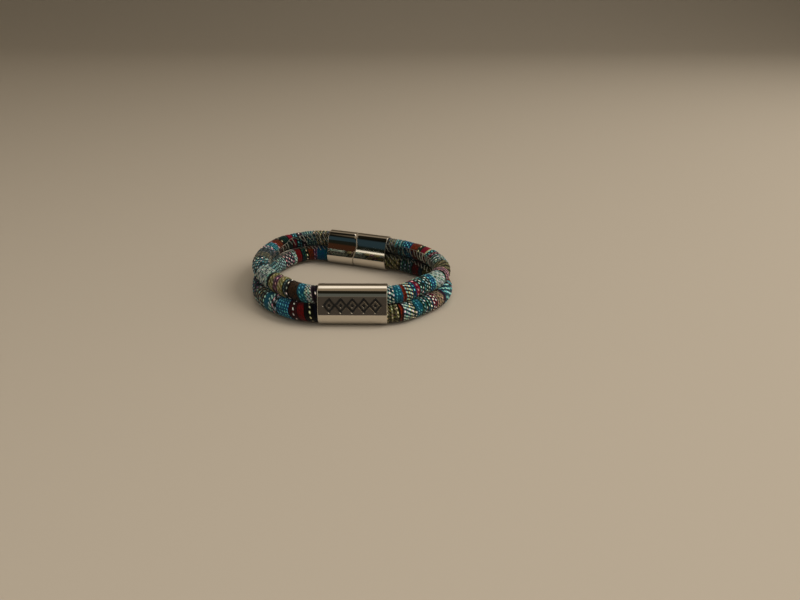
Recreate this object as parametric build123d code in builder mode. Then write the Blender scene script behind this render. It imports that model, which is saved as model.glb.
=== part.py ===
"""Cord bracelet of two round cloth-covered strands that lie one on the other.

Both strands run side by side through a flat metal slider at the front, and their ends are
glued into the two halves of a metal clasp at the back. The bracelet lies flat as a closed ring.
Millimetres, +Z up, +X along the ring's width, the slider towards -Y, the floor at Z = 0.
"""

import math
import os
from collections import namedtuple

from build123d import *

# The cord: its diameter, and the space left between the two strands
cord_diameter = 5.9
cord_gap = 0.12

# The ring's outer size as it lies
ring_width = 73.6
ring_depth = 59.6

# The slider, a tube that leans back towards the ring's middle
slider_length = 22.8
slider_wall = 0.58
slider_clearance = 0.2
slider_lean = 17.5
slider_edge_radius = 0.24
slider_place = (0.065, -0.845)

# The row of lozenges engraved on the slider's flat face
ornament_count = 5
ornament_end_margin = 2.0
ornament_side_margin = 0.45
ornament_stroke = 0.42
ornament_core = 0.34
ornament_depth = 0.25

# The clasp, which leans back as the slider does, and its two halves, each turned a little from
# the ring's width
clasp_place = (0.027, 0.745)
clasp_lean = 17.0
left_half_length = 12.0
left_half_turn = 15.0
right_half_length = 12.9
right_half_turn = 21.3
clasp_wall = 0.5
clasp_clearance = 0.18
clasp_edge_radius = 0.2
pocket_depth = 8.0
pocket_end_gap = 0.3
seam_wave = 0.95
seam_gap = 0.12
seam_edge_radius = 0.2
seam_overrun = 0.5

# A strand's corners between the slider and the clasp. Across and along are shares of half the
# ring's width and depth. Height is a share of the strand's lowest height: 1 lies on what is below.
Corner = namedtuple("Corner", "across along height")

# Leads are how far a strand runs straight on past the slider's end or the clasp's mouth.
Route = namedtuple("Route", "slider_lead corners clasp_lead")

upper_left_route = Route(
    slider_lead=3.6,
    corners=[
        Corner(-0.59, -0.58, 1.015),
        Corner(-0.79, -0.32, 1.000),
        Corner(-0.915, -0.03, 1.010),
        Corner(-0.925, 0.31, 1.005),
        Corner(-0.873, 0.56, 1.010),
        Corner(-0.78, 0.77, 1.030),
        Corner(-0.60, 0.88, 1.045),
    ],
    clasp_lead=4.4,
)
upper_right_route = Route(
    slider_lead=4.0,
    corners=[
        Corner(0.67, -0.57, 1.045),
        Corner(0.84, -0.38, 1.010),
        Corner(0.90, -0.14, 1.005),
        Corner(0.87, 0.11, 1.010),
        Corner(0.75, 0.36, 1.025),
        Corner(0.57, 0.51, 1.045),
    ],
    clasp_lead=3.6,
)
lower_left_route = Route(
    slider_lead=5.5,
    corners=[
        Corner(-0.63, -0.70, 1.14),
        Corner(-0.81, -0.47, 1.01),
        Corner(-0.90, -0.16, 1.01),
        Corner(-0.92, 0.17, 1.01),
        Corner(-0.84, 0.46, 1.01),
        Corner(-0.70, 0.705, 1.08),
        Corner(-0.53, 0.857, 1.15),
    ],
    clasp_lead=2.8,
)
lower_right_route = Route(
    slider_lead=4.4,
    corners=[
        Corner(0.70, -0.67, 1.15),
        Corner(0.865, -0.45, 1.01),
        Corner(0.928, -0.21, 1.01),
        Corner(0.885, 0.04, 1.01),
        Corner(0.77, 0.26, 1.02),
        Corner(0.61, 0.44, 1.06),
    ],
    clasp_lead=4.4,
)

# An arc takes this share of the shorter run on each side of its corner.
arc_share = 0.45

# Sizes that follow
cord_radius = cord_diameter / 2
strand_pitch = cord_diameter + cord_gap
stack_height = cord_diameter + strand_pitch

bore_height = stack_height + 2 * slider_clearance
bore_thickness = cord_diameter + 2 * slider_clearance
slider_height = bore_height + 2 * slider_wall
slider_thickness = bore_thickness + 2 * slider_wall
slider_flat = slider_height - slider_thickness

pocket_height = stack_height + 2 * clasp_clearance
pocket_thickness = cord_diameter + 2 * clasp_clearance
clasp_height = pocket_height + 2 * clasp_wall
clasp_thickness = pocket_thickness + 2 * clasp_wall
clasp_flat = clasp_height - clasp_thickness
clasp_kink = math.radians(right_half_turn - left_half_turn)
clasp_turn = math.radians(right_half_turn + left_half_turn) / 2
seam_allowance = 2 * seam_wave
seam_profile_top = clasp_height / 2 + seam_overrun

# Where the slider is, with the directions along its face and up it
lean = math.radians(slider_lean)
slider_up = Vector(0, math.sin(lean), math.cos(lean))
slider_front = Vector(0, -math.cos(lean), math.sin(lean))
slider_centre = Vector(
    slider_place[0] * ring_width / 2,
    slider_place[1] * ring_depth / 2,
    slider_thickness / 2 + slider_flat / 2 * math.cos(lean),
)

# Where the clasp's halves meet, with the directions along the clasp, up its face and out of it
clasp_tilt = math.radians(clasp_lean)
clasp_back = Vector(math.sin(clasp_turn), math.cos(clasp_turn), 0)
clasp_along = Vector(math.cos(clasp_turn), -math.sin(clasp_turn), 0)
clasp_up = clasp_back * math.sin(clasp_tilt) + Vector(0, 0, math.cos(clasp_tilt))
clasp_front = Vector(0, 0, math.sin(clasp_tilt)) - clasp_back * math.cos(clasp_tilt)
clasp_centre = Vector(
    clasp_place[0] * ring_width / 2,
    clasp_place[1] * ring_depth / 2,
    clasp_thickness / 2 + clasp_flat / 2 * math.cos(clasp_tilt),
)

# The direction from there to each mouth, half of the kink towards the front
forward = clasp_front * math.sin(clasp_kink / 2)
left_axis = forward - clasp_along * math.cos(clasp_kink / 2)
right_axis = forward + clasp_along * math.cos(clasp_kink / 2)


def slot(height, thickness, mode=Mode.ADD):
    """The round-ended section that the slider and the clasp share, standing on its end."""
    SlotOverall(height, thickness, rotation=90, mode=mode)


def lozenge(width, height, mode=Mode.ADD):
    """A lozenge as wide and high as given."""
    tips = [(width / 2, 0), (0, height / 2), (-width / 2, 0), (0, -height / 2)]
    Polygon(*tips, mode=mode)


# Slider tube
slider_section = Plane(origin=slider_centre, x_dir=-slider_front, z_dir=(1, 0, 0))
slider_face = Plane(
    origin=slider_centre + slider_front * (slider_thickness / 2),
    x_dir=(1, 0, 0),
    z_dir=slider_front,
)
lozenge_pitch = (slider_length - 2 * ornament_end_margin) / ornament_count
lozenge_width = lozenge_pitch + ornament_stroke
lozenge_height = slider_flat - 2 * ornament_side_margin
lozenge_side = math.hypot(lozenge_width, lozenge_height)
inner_width = lozenge_width - 2 * ornament_stroke * lozenge_side / lozenge_height
inner_height = lozenge_height - 2 * ornament_stroke * lozenge_side / lozenge_width

with BuildPart() as slider_tube:
    with BuildSketch(slider_section):
        slot(slider_height, slider_thickness)
        slot(bore_height, bore_thickness, mode=Mode.SUBTRACT)
    extrude(amount=slider_length / 2, both=True)
    end_faces = slider_tube.faces().filter_by(Axis.X)
    fillet(end_faces.edges(), slider_edge_radius)
    with BuildSketch(slider_face):
        with GridLocations(lozenge_pitch, 0, ornament_count, 1):
            lozenge(lozenge_width, lozenge_height)
        with GridLocations(lozenge_pitch, 0, ornament_count, 1):
            lozenge(inner_width, inner_height, mode=Mode.SUBTRACT)
        with GridLocations(lozenge_pitch, 0, ornament_count, 1):
            lozenge(inner_width * ornament_core, inner_height * ornament_core)
    extrude(amount=-ornament_depth, mode=Mode.SUBTRACT)


def build_clasp_half(axis, length, wave):
    """One half of the clasp: a blind pocket at its mouth, and a wavy face at the seam.

    The wave is how far the upper lobe of the seam stands towards the mouth.
    """
    sideways = clasp_up.cross(axis)
    section = Plane(origin=clasp_centre, x_dir=sideways, z_dir=axis)
    profile = Plane(origin=clasp_centre, x_dir=axis, z_dir=-sideways)
    seam_start = clasp_thickness / 2 * math.tan(clasp_kink / 2) + seam_gap / 2
    past_mouth = length + seam_allowance
    with BuildPart() as half:
        with BuildSketch(section.offset(-seam_allowance)):
            slot(clasp_height, clasp_thickness)
        extrude(amount=length + seam_allowance)
        with BuildSketch(profile):
            with BuildLine():
                low = (seam_start, -seam_profile_top)
                middle = (seam_start, 0)
                high = (seam_start, seam_profile_top)
                ThreePointArc(low, (seam_start - wave, -seam_profile_top / 2), middle)
                ThreePointArc(middle, (seam_start + wave, seam_profile_top / 2), high)
                Polyline(high, (past_mouth, seam_profile_top), (past_mouth, -seam_profile_top), low)
            make_face()
        extrude(amount=clasp_thickness, both=True, mode=Mode.INTERSECT)
        fillet(half.edges().filter_by(lambda edge: is_seam_edge(edge, axis)), seam_edge_radius)
        mouth = half.faces().sort_by(Axis(clasp_centre, axis))[-1]
        fillet(mouth.edges(), clasp_edge_radius)
        with BuildSketch(section.offset(length)):
            slot(pocket_height, pocket_thickness)
        extrude(amount=-pocket_depth, mode=Mode.SUBTRACT)
    return half


def is_seam_edge(edge, axis):
    """True for the curved edges round the wavy face, not for the line between its two lobes."""
    distance = (edge.center() - clasp_centre).dot(axis)
    return distance < seam_allowance and edge.geom_type != GeomType.LINE


# Clasp halves
left_half = build_clasp_half(left_axis, left_half_length, -seam_wave)
right_half = build_clasp_half(right_axis, right_half_length, seam_wave)


def clasp_point(axis, distance, rise):
    """A point on a strand's line inside the clasp, as far from the seam as given."""
    return clasp_centre + axis * distance + clasp_up * rise


def slider_point(distance, rise):
    """A point on a strand's line inside the slider, as far from its middle as given."""
    return slider_centre + Vector(distance, 0, 0) + slider_up * rise


def ring_point(corner, lowest_height):
    """The place of one of a route's corners."""
    return Vector(
        corner.across * ring_width / 2,
        corner.along * ring_depth / 2,
        corner.height * lowest_height,
    )


def strand_points(left, right, side, lowest_height):
    """All corners of one strand, from its end in the left half to its end in the right half.

    The side is 1 for the upper strand and -1 for the lower one.
    """
    rise = side * strand_pitch / 2
    end_inset = pocket_depth - pocket_end_gap
    left_reach = slider_length / 2 + left.slider_lead
    right_reach = slider_length / 2 + right.slider_lead
    points = [
        clasp_point(left_axis, left_half_length - end_inset, rise),
        clasp_point(left_axis, left_half_length + left.clasp_lead, rise),
    ]
    points += [ring_point(corner, lowest_height) for corner in reversed(left.corners)]
    points += [slider_point(-left_reach, rise), slider_point(right_reach, rise)]
    points += [ring_point(corner, lowest_height) for corner in right.corners]
    points += [
        clasp_point(right_axis, right_half_length + right.clasp_lead, rise),
        clasp_point(right_axis, right_half_length - end_inset, rise),
    ]
    return points


def corner_radii(points):
    """The radius of the arc at each corner, as large as its two runs allow."""
    radii = []
    for before, corner, after in zip(points, points[1:], points[2:]):
        run_in = corner - before
        run_out = after - corner
        half_turn = math.radians(run_in.get_angle(run_out)) / 2
        radii.append(arc_share * min(run_in.length, run_out.length) / math.tan(half_turn))
    return radii


def build_strand(points):
    """A round cord along straight runs joined by tangent arcs."""
    with BuildPart() as strand:
        with BuildLine() as route:
            FilletPolyline(*points, radius=corner_radii(points))
        path = route.wire()
        with BuildSketch(Plane(origin=path @ 0, z_dir=path % 0)):
            Circle(cord_radius)
        sweep(path=path)
    return strand, path.length


# Strands
upper_points = strand_points(upper_left_route, upper_right_route, 1, cord_radius + strand_pitch)
lower_points = strand_points(lower_left_route, lower_right_route, -1, cord_radius)
upper_strand, upper_length = build_strand(upper_points)
lower_strand, lower_length = build_strand(lower_points)

os.makedirs("parts", exist_ok=True)
slider_tube.part.label = "slider_tube"
export_step(slider_tube.part, "parts/slider_tube.step")
left_half.part.label = "clasp_half_left"
export_step(left_half.part, "parts/clasp_half_left.step")
right_half.part.label = "clasp_half_right"
export_step(right_half.part, "parts/clasp_half_right.step")
upper_strand.part.label = "upper_strand"
export_step(upper_strand.part, "parts/upper_strand.step")
lower_strand.part.label = "lower_strand"
export_step(lower_strand.part, "parts/lower_strand.step")

for name, points, strand, length in (
    ("upper strand", upper_points, upper_strand, upper_length),
    ("lower strand", lower_points, lower_strand, lower_length),
):
    radii = ", ".join(f"{radius:.1f}" for radius in corner_radii(points))
    expected = math.pi * cord_radius**2 * length
    print(f"{name}: {length:.1f} mm long, arcs of {radii} mm")
    print(f"{name}: volume {strand.part.volume:.1f}, section times length {expected:.1f} mm3")
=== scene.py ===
"""Dresses the cord bracelet: cloth-covered strands, a polished slider and a polished clasp.

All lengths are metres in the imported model's own frame, unless a name ends in _mm.
"""

import logging
import math
import random
from dataclasses import dataclass, field
from enum import Enum
from typing import Callable, Sequence

import bmesh
import bpy
from mathutils import Matrix, Vector

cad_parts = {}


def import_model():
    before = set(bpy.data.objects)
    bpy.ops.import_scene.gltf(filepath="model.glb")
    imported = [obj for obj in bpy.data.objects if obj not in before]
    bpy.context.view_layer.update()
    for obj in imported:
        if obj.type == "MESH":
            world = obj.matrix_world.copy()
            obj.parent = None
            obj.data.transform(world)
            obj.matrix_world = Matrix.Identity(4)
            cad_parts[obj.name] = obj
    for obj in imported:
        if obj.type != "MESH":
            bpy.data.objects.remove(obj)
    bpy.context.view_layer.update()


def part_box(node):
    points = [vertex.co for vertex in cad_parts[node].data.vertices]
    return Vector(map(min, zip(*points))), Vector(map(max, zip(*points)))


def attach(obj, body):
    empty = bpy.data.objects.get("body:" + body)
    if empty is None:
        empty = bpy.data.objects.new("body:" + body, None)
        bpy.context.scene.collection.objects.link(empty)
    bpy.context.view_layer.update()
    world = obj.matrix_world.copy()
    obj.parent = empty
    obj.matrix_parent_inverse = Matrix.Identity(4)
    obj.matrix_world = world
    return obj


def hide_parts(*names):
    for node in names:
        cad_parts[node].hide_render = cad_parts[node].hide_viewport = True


LOG = logging.getLogger("bracelet")
Colour = tuple[float, float, float]
Point = tuple[float, float, float]
Stop = tuple[float, Colour]

MM = 0.001
SEED = 7
FULL_CHANNEL = 255
DISPLAY_GAMMA = 2.2
ROUTE_ORDER = 3
ROUTE_STEPS = 16
ZIGZAG_YARNS = 6
FLECK_OFFSETS = 4
# Keeps rounding from dropping a point on a cell's edge into the cell before it.
NUDGE = 0.002
# Stands in for the flecks' share on a yarn without any, so that nothing is divided by zero.
LEAST_SHARE = 0.01
# What the tree reads of each yarn: the attribute's type, and the slot that holds its value.
YARN_FACTS = {
    "ground": ("FLOAT_COLOR", "color"),
    "fleck": ("FLOAT_COLOR", "color"),
    "rhythm": ("FLOAT_VECTOR", "vector"),
    "girth": ("FLOAT", "value"),
    "contrast": ("FLOAT", "value"),
}
SHARP_ANGLE = math.radians(35)
FLAT_FACE_WEIGHT = 90
# A cutter's face makes the engraving's floor where its normal's Z is below this.
FLOOR_FACING = -0.9


def linear(red: int, green: int, blue: int) -> Colour:
    """Turns a display colour, 0 to 255 a channel, into scene light."""
    return tuple((channel / FULL_CHANNEL) ** DISPLAY_GAMMA for channel in (red, green, blue))


class Dye(Enum):
    """The yarn colours of the striped cloth."""

    TEAL = linear(8, 90, 110)
    DEEP_TEAL = linear(8, 54, 62)
    TURQUOISE = linear(84, 170, 178)
    BLUE = linear(14, 56, 116)
    NAVY = linear(8, 14, 32)
    BLACK = linear(7, 8, 9)
    GREEN = linear(14, 72, 50)
    MINT = linear(160, 204, 192)
    WHITE = linear(226, 224, 212)
    CREAM = linear(214, 204, 158)
    GREY = linear(120, 138, 140)
    SLATE = linear(50, 68, 76)
    OLIVE = linear(98, 96, 46)
    KHAKI = linear(142, 134, 104)
    GOLD = linear(140, 132, 58)
    BROWN = linear(60, 38, 16)
    RUST = linear(120, 44, 16)
    RED = linear(100, 6, 8)
    WINE = linear(58, 8, 14)
    CRIMSON = linear(132, 14, 42)
    PLUM = linear(50, 28, 48)
    MAUVE = linear(114, 82, 106)
    PINK = linear(204, 154, 158)
    PEACH = linear(186, 150, 126)


@dataclass(frozen=True)
class Rhythm:
    """How bright flecks lie on a stripe, counted in columns round the cord."""

    period: float
    length: float
    shift: float
    yarns_a_row: int


class Weave(Enum):
    """The kinds of pattern on the stripes."""

    PLAIN = Rhythm(period=2.0, length=0.0, shift=1.0, yarns_a_row=1)
    DASHES = Rhythm(period=3.2, length=1.25, shift=0.0, yarns_a_row=1)
    FLECKS = Rhythm(period=2.4, length=1.0, shift=1.2, yarns_a_row=2)
    DOTS = Rhythm(period=3.2, length=1.25, shift=1.6, yarns_a_row=2)
    ROWS = Rhythm(period=1.75, length=0.7, shift=0.0, yarns_a_row=2)
    CHECKER = Rhythm(period=2.0, length=0.9, shift=1.0, yarns_a_row=1)
    SLANTS = Rhythm(period=2.4, length=1.0, shift=-0.6, yarns_a_row=1)
    DIAGONAL = Rhythm(period=4.0, length=1.6, shift=-0.75, yarns_a_row=1)
    ZIGZAG = Rhythm(period=4.0, length=1.75, shift=1.0, yarns_a_row=1)


@dataclass(frozen=True)
class Yarn:
    """One yarn of the cloth. Its rhythm is the period, the flecks' share of it, and the phase."""

    ground: Dye
    fleck: Dye
    rhythm: Point
    girth: float
    contrast: float


@dataclass(frozen=True)
class Stripe:
    """One stripe of the cloth, as wide as given along the cord."""

    width_mm: float
    ground: tuple[Dye, ...]
    flecks: tuple[Dye, ...] = (Dye.BLACK,)
    weave: Weave = Weave.PLAIN
    contrast: float = 1.0
    swell_mm: float = 0.0

    def yarn(self, number: int, count: int, offset: int, girth: float) -> Yarn:
        """Works out one of the stripe's yarns.

        Args:
            number: The yarn's place in the stripe.
            count: How many yarns the stripe has.
            offset: The column that the stripe's flecks start from.
            girth: How far the yarn stands out.

        Returns:
            The yarn.
        """
        rhythm = self.weave.value
        turn = number // rhythm.yarns_a_row
        shown = (number + 1) % rhythm.yarns_a_row == 0
        if self.weave is Weave.ZIGZAG:
            turn = abs(number % ZIGZAG_YARNS - ZIGZAG_YARNS // 2)
        if self.weave is Weave.DASHES:
            shown = number == count // 2
        share = rhythm.length / rhythm.period if shown else 0.0
        return Yarn(
            ground=self.ground[number % len(self.ground)],
            fleck=self.flecks[turn % len(self.flecks)],
            rhythm=(rhythm.period, share, offset + rhythm.shift * turn),
            girth=girth,
            contrast=self.contrast,
        )


@dataclass(frozen=True)
class CordSizes:
    """The sizes that both cords share. Places round the cord are shares of a turn from the seam."""

    radius: float = 2.90 * MM
    yarn_pitch: float = 0.50 * MM
    rings_per_yarn: int = 4
    columns: int = 32
    samples_per_column: int = 2
    relief: float = 0.17 * MM
    fleck_lift: float = 0.08 * MM
    crease: float = 0.10 * MM
    uneven_girth: float = 0.03 * MM
    seam_ridge: float = 0.30 * MM
    seam_width: float = 0.045
    wrinkle: float = 0.32 * MM
    wrinkles_a_metre: float = 420.0
    stray_yarns: float = 2.0
    strays_a_metre: float = 300.0
    yarn_skew: float = 0.5
    lean_fade: tuple[float, float] = (0.04, 0.16)
    lap: tuple[float, float] = (0.70, 0.76)
    chart_side: Point = (0.0, -0.89, 0.456)


@dataclass(frozen=True)
class WeaveLight:
    """How bright the weave's parts are, with their painted shade, how high they stand and how much
    shows, as shares.
    """

    ground: float = 0.95
    # Painted shade on the sunk cells: every other cell of the ground is darker.
    sunk_painted_shade: float = 0.92
    dullest_fleck: float = 0.65
    fleck_spread: float = 0.9
    missing_flecks: float = 0.1
    fleck_margin: float = 0.1
    dullest_cell: float = 0.55
    cell_spread: float = 0.9
    cell_share: float = 0.8
    # Painted shade: the least brightness of the weave's low parts, whose colour darkens with their
    # height.
    painted_hollow_shade: float = 0.12
    # Painted shade along the seam: how much the cloth is darkened at the seam's line.
    seam_painted_shade: float = 0.7
    least_cast: float = 0.85
    cast_spread: float = 0.3
    roundness: float = 0.45
    plain_height: float = 0.85
    ground_foot: float = 0.28
    fleck_foot: float = 0.6
    fleck_arch: float = 0.4


@dataclass(frozen=True)
class StitchSizes:
    """The sizes of the seam's stitches, whose swings are counted in the cord's stitch reach."""

    pitch: float = 1.8 * MM
    points: int = 10
    thread: float = 0.15 * MM
    edge: float = 0.11 * MM
    edge_place: float = 0.4
    edge_depth: float = 0.08 * MM
    sides: int = 6
    ridge_share: float = 0.45
    out_share: float = 0.85
    lift: float = 0.12 * MM
    dip: float = 0.5 * MM
    least_span: float = 0.15
    span_spread: float = 1.3
    swing: float = 2.0
    swing_back: float = 1.7
    slack_middle: float = 0.4
    slacks_a_metre: float = 600.0


class Field:
    """A value in a node tree, which takes part in sums as a plain number does."""

    def __init__(self, canvas: "NodeCanvas", socket: bpy.types.NodeSocket) -> None:
        """Wraps a socket.

        Args:
            canvas: The tree that gets a node for each step.
            socket: The socket that gives the value.
        """
        self.canvas = canvas
        self.socket = socket

    def __add__(self, other: "Field | float") -> "Field":
        """The sum of both."""
        return self.canvas.math("ADD", self, other)

    def __sub__(self, other: "Field | float") -> "Field":
        """The other taken from this."""
        return self.canvas.math("SUBTRACT", self, other)

    def __rsub__(self, other: float) -> "Field":
        """This taken from a plain number."""
        return self.canvas.math("SUBTRACT", other, self)

    def __mul__(self, other: "Field | float") -> "Field":
        """The product of both."""
        return self.canvas.math("MULTIPLY", self, other)

    def __truediv__(self, other: "Field | float") -> "Field":
        """This divided by the other."""
        return self.canvas.math("DIVIDE", self, other)

    def __pow__(self, power: float) -> "Field":
        """This raised to a power."""
        return self.canvas.math("POWER", self, power)

    def __lt__(self, limit: "Field | float") -> "Field":
        """1 where this is below the limit, else 0."""
        return self.canvas.math("LESS_THAN", self, limit)

    def __gt__(self, limit: "Field | float") -> "Field":
        """1 where this is above the limit, else 0."""
        return self.canvas.math("GREATER_THAN", self, limit)

    def floor(self) -> "Field":
        """The whole number below."""
        return self.canvas.math("FLOOR", self)

    def fract(self) -> "Field":
        """The part after the whole number."""
        return self.canvas.math("FRACT", self)

    def sine(self) -> "Field":
        """The sine of an angle."""
        return self.canvas.math("SINE", self)

    def at_least(self, least: "Field | float") -> "Field":
        """This, or the least where this is lower."""
        return self.canvas.math("MAXIMUM", self, least)

    def at_most(self, most: "Field | float") -> "Field":
        """This, or the most where this is higher."""
        return self.canvas.math("MINIMUM", self, most)

    def from_whole(self, whole: float) -> "Field":
        """How far this is from the nearest even multiple of a number, up to that number."""
        return self.canvas.math("PINGPONG", self, whole)


class NodeCanvas:
    """Adds nodes to a tree and wires them, so that a tree reads like a list of steps."""

    def __init__(self, tree: bpy.types.NodeTree) -> None:
        """Starts on a tree.

        Args:
            tree: The tree that gets the nodes.
        """
        self.tree = tree

    def add(self, kind: str, settings: dict | None = None, **inputs: object) -> bpy.types.Node:
        """Adds a node.

        Args:
            kind: The node's type name.
            settings: Properties of the node itself.
            inputs: Values of its sockets by name, with underscores for spaces.

        Returns:
            The new node.
        """
        node = self.tree.nodes.new(kind)
        for name, value in (settings or {}).items():
            setattr(node, name, value)
        for name, value in inputs.items():
            self.set(self.socket(node, name.replace("_", " ")), value)
        return node

    @staticmethod
    def socket(node: bpy.types.Node, name: str) -> bpy.types.NodeSocket:
        """Finds the input of a node that has a name and is in use."""
        return next(s for s in node.inputs if s.name == name and s.enabled)

    @staticmethod
    def result(node: bpy.types.Node) -> bpy.types.NodeSocket:
        """Finds the first output of a node that is in use."""
        return next(s for s in node.outputs if s.enabled)

    def read(self, node: bpy.types.Node, name: str = "") -> Field:
        """Takes a value from a node.

        Args:
            node: The node.
            name: The output's name, or nothing for the first one.

        Returns:
            The value.
        """
        return Field(self, node.outputs[name] if name else self.result(node))

    def set(self, socket: bpy.types.NodeSocket, value: object) -> None:
        """Links a socket to another, or gives it a plain value.

        Args:
            socket: The input.
            value: A field, a node, a socket or a plain value.
        """
        if isinstance(value, bpy.types.Node):
            value = self.result(value)
        if isinstance(value, Field):
            value = value.socket
        if isinstance(value, bpy.types.NodeSocket):
            self.tree.links.new(value, socket)
        else:
            socket.default_value = value

    def worked_out(self, node: bpy.types.Node, values: Sequence[object]) -> Field:
        """Gives a node its values in order.

        Args:
            node: The node.
            values: What its inputs get, from the first one in use.

        Returns:
            The node's value.
        """
        for socket, value in zip([s for s in node.inputs if s.enabled], values):
            self.set(socket, value)
        return self.read(node)

    def math(self, operation: str, *values: object) -> Field:
        """One step of arithmetic on numbers, named as the Math node names it."""
        return self.worked_out(self.add("ShaderNodeMath", {"operation": operation}), values)

    def vector(self, operation: str, *values: object) -> Field:
        """One step of arithmetic on vectors, where a scale is the last value."""
        return self.worked_out(self.add("ShaderNodeVectorMath", {"operation": operation}), values)

    def mix(self, kind: str, factor: object, first: object, second: object) -> Field:
        """Blends two numbers or colours.

        Args:
            kind: FLOAT or RGBA.
            factor: 0 gives the first, 1 the second.
            first: A field or a plain value.
            second: A field or a plain value.

        Returns:
            The blend.
        """
        node = self.add("ShaderNodeMix", {"data_type": kind, "clamp_factor": True})
        return self.worked_out(node, (factor, first, second))

    def step(self, value: object, start: float, end: float) -> Field:
        """A soft step from 0 at the start to 1 at the end."""
        return self.read(self.add("ShaderNodeMapRange", Value=value, From_Min=start, From_Max=end))

    def split(self, vector: object) -> tuple[Field, Field, Field]:
        """The parts of a vector along X, Y and Z."""
        node = self.add("ShaderNodeSeparateXYZ", Vector=vector)
        return tuple(Field(self, socket) for socket in node.outputs)


class ShapeTree(NodeCanvas):
    """A Geometry Nodes tree with named inputs, and the modifier that runs it once."""

    SOCKETS = {
        int: "NodeSocketInt",
        float: "NodeSocketFloat",
        bpy.types.Object: "NodeSocketObject",
        bpy.types.Material: "NodeSocketMaterial",
    }

    def __init__(self, name: str, inputs: dict[str, object]) -> None:
        """Makes the tree and its inputs.

        Args:
            name: The tree's name.
            inputs: The value of each named input.
        """
        tree = bpy.data.node_groups.new(name, "GeometryNodeTree")
        super().__init__(tree)
        shape = "NodeSocketGeometry"
        tree.interface.new_socket("Geometry", in_out="INPUT", socket_type=shape)
        tree.interface.new_socket("Geometry", in_out="OUTPUT", socket_type=shape)
        self.values = inputs
        self.identifiers: dict[str, str] = {}
        for label, value in inputs.items():
            kind = self.SOCKETS[type(value)]
            socket = tree.interface.new_socket(label, in_out="INPUT", socket_type=kind)
            self.identifiers[label] = socket.identifier
        self.entry = tree.nodes.new("NodeGroupInput")
        self.exit = tree.nodes.new("NodeGroupOutput")

    def given(self, label: str) -> Field:
        """The value of a named input."""
        return self.read(self.entry, label)

    def named(self, name: str, kind: str = "FLOAT") -> Field:
        """Reads a named attribute."""
        node = self.add("GeometryNodeInputNamedAttribute", {"data_type": kind}, Name=name)
        return self.read(node, "Attribute")

    def store(self, geometry: object, name: str, value: object, kind: str = "FLOAT") -> Field:
        """Stores a point attribute on geometry.

        Args:
            geometry: The geometry.
            name: The attribute's name.
            value: Its value.
            kind: Its data type.

        Returns:
            The geometry with the attribute.
        """
        settings = {"data_type": kind, "domain": "POINT"}
        node = self.add("GeometryNodeStoreNamedAttribute", settings, Geometry=geometry, Name=name)
        self.set(self.socket(node, "Value"), value)
        return self.read(node)

    def sampled(self, table: object, row: Field, name: str, kind: str = "FLOAT") -> Field:
        """Reads a named attribute from a row of a table.

        Args:
            table: The geometry whose points are the rows.
            row: The row's number.
            name: The attribute's name.
            kind: Its data type.

        Returns:
            The row's value.
        """
        node = self.add("GeometryNodeSampleIndex", {"data_type": kind}, Geometry=table, Index=row)
        self.set(self.socket(node, "Value"), self.named(name, kind))
        return self.read(node)

    def share(self) -> Field:
        """How far along its curve a point is, from 0 to 1."""
        return self.read(self.add("GeometryNodeSplineParameter"), "Factor")

    def noise(self, repeats: float, detail: float) -> bpy.types.Node:
        """A noise in space, in repeats a metre and octaves of detail."""
        place = self.add("GeometryNodeInputPosition")
        return self.add("ShaderNodeTexNoise", Vector=place, Scale=repeats, Detail=detail)

    def cell_noise(self, first: Field, second: Field) -> bpy.types.Node:
        """A random value and colour for each pair of whole numbers."""
        cell = self.add("ShaderNodeCombineXYZ", X=first, Y=second)
        return self.add("ShaderNodeTexWhiteNoise", Vector=cell)

    def moved(self, geometry: object, offset: Field) -> Field:
        """Moves geometry by an offset."""
        return self.read(self.add("GeometryNodeSetPosition", Geometry=geometry, Offset=offset))

    def tube(self, line: object, ring: object) -> Field:
        """Draws a ring along a line into a tube with closed ends."""
        node = self.add("GeometryNodeCurveToMesh", Curve=line, Profile_Curve=ring, Fill_Caps=True)
        return self.read(node)

    def joined(self, parts: Sequence[Field]) -> Field:
        """Joins pieces of geometry.

        Args:
            parts: The pieces.

        Returns:
            All of them as one.
        """
        node = self.add("GeometryNodeJoinGeometry")
        for part in parts:
            self.tree.links.new(part.socket, node.inputs[0])
        return self.read(node)

    def section_axes(self) -> tuple[Field, Field]:
        """Finds the directions across a cord.

        Returns:
            The direction to the ring's inner side, and the one upwards.
        """
        tangent = self.add("GeometryNodeInputTangent")
        side = self.vector("NORMALIZE", self.vector("CROSS_PRODUCT", (0.0, 0.0, 1.0), tangent))
        return side, self.vector("CROSS_PRODUCT", tangent, side)

    def along_curve(self, stops: Sequence[tuple[float, float]], whole: float) -> Field:
        """A smooth change of a value along a curve.

        Args:
            stops: Places along the curve, each with its share of the whole value.
            whole: The value that a share of 1 stands for.

        Returns:
            The value.
        """
        node = self.add("ShaderNodeFloatCurve", Value=self.share())
        curve = node.mapping.curves[0]
        for place, part in stops[1:-1]:
            curve.points.new(place, part)
        for point, stop in zip(curve.points, stops):
            point.location = stop
        node.mapping.update()
        return self.read(node) * whole

    def dressed(self, geometry: object, material: str, **where: Field) -> bpy.types.Node:
        """Gives geometry the material that an input holds, or only where a Selection says."""
        finish = self.given(material)
        return self.add("GeometryNodeSetMaterial", Geometry=geometry, Material=finish, **where)

    def close(self, geometry: object) -> None:
        """Ends the tree in smooth shading, Realize Instances and Set Material.

        Args:
            geometry: The finished geometry.
        """
        smooth = self.add("GeometryNodeSetShadeSmooth", Geometry=geometry, Shade_Smooth=True)
        real = self.add("GeometryNodeRealizeInstances", Geometry=smooth)
        self.tree.links.new(self.dressed(real, "Material").outputs[0], self.exit.inputs[0])

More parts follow.
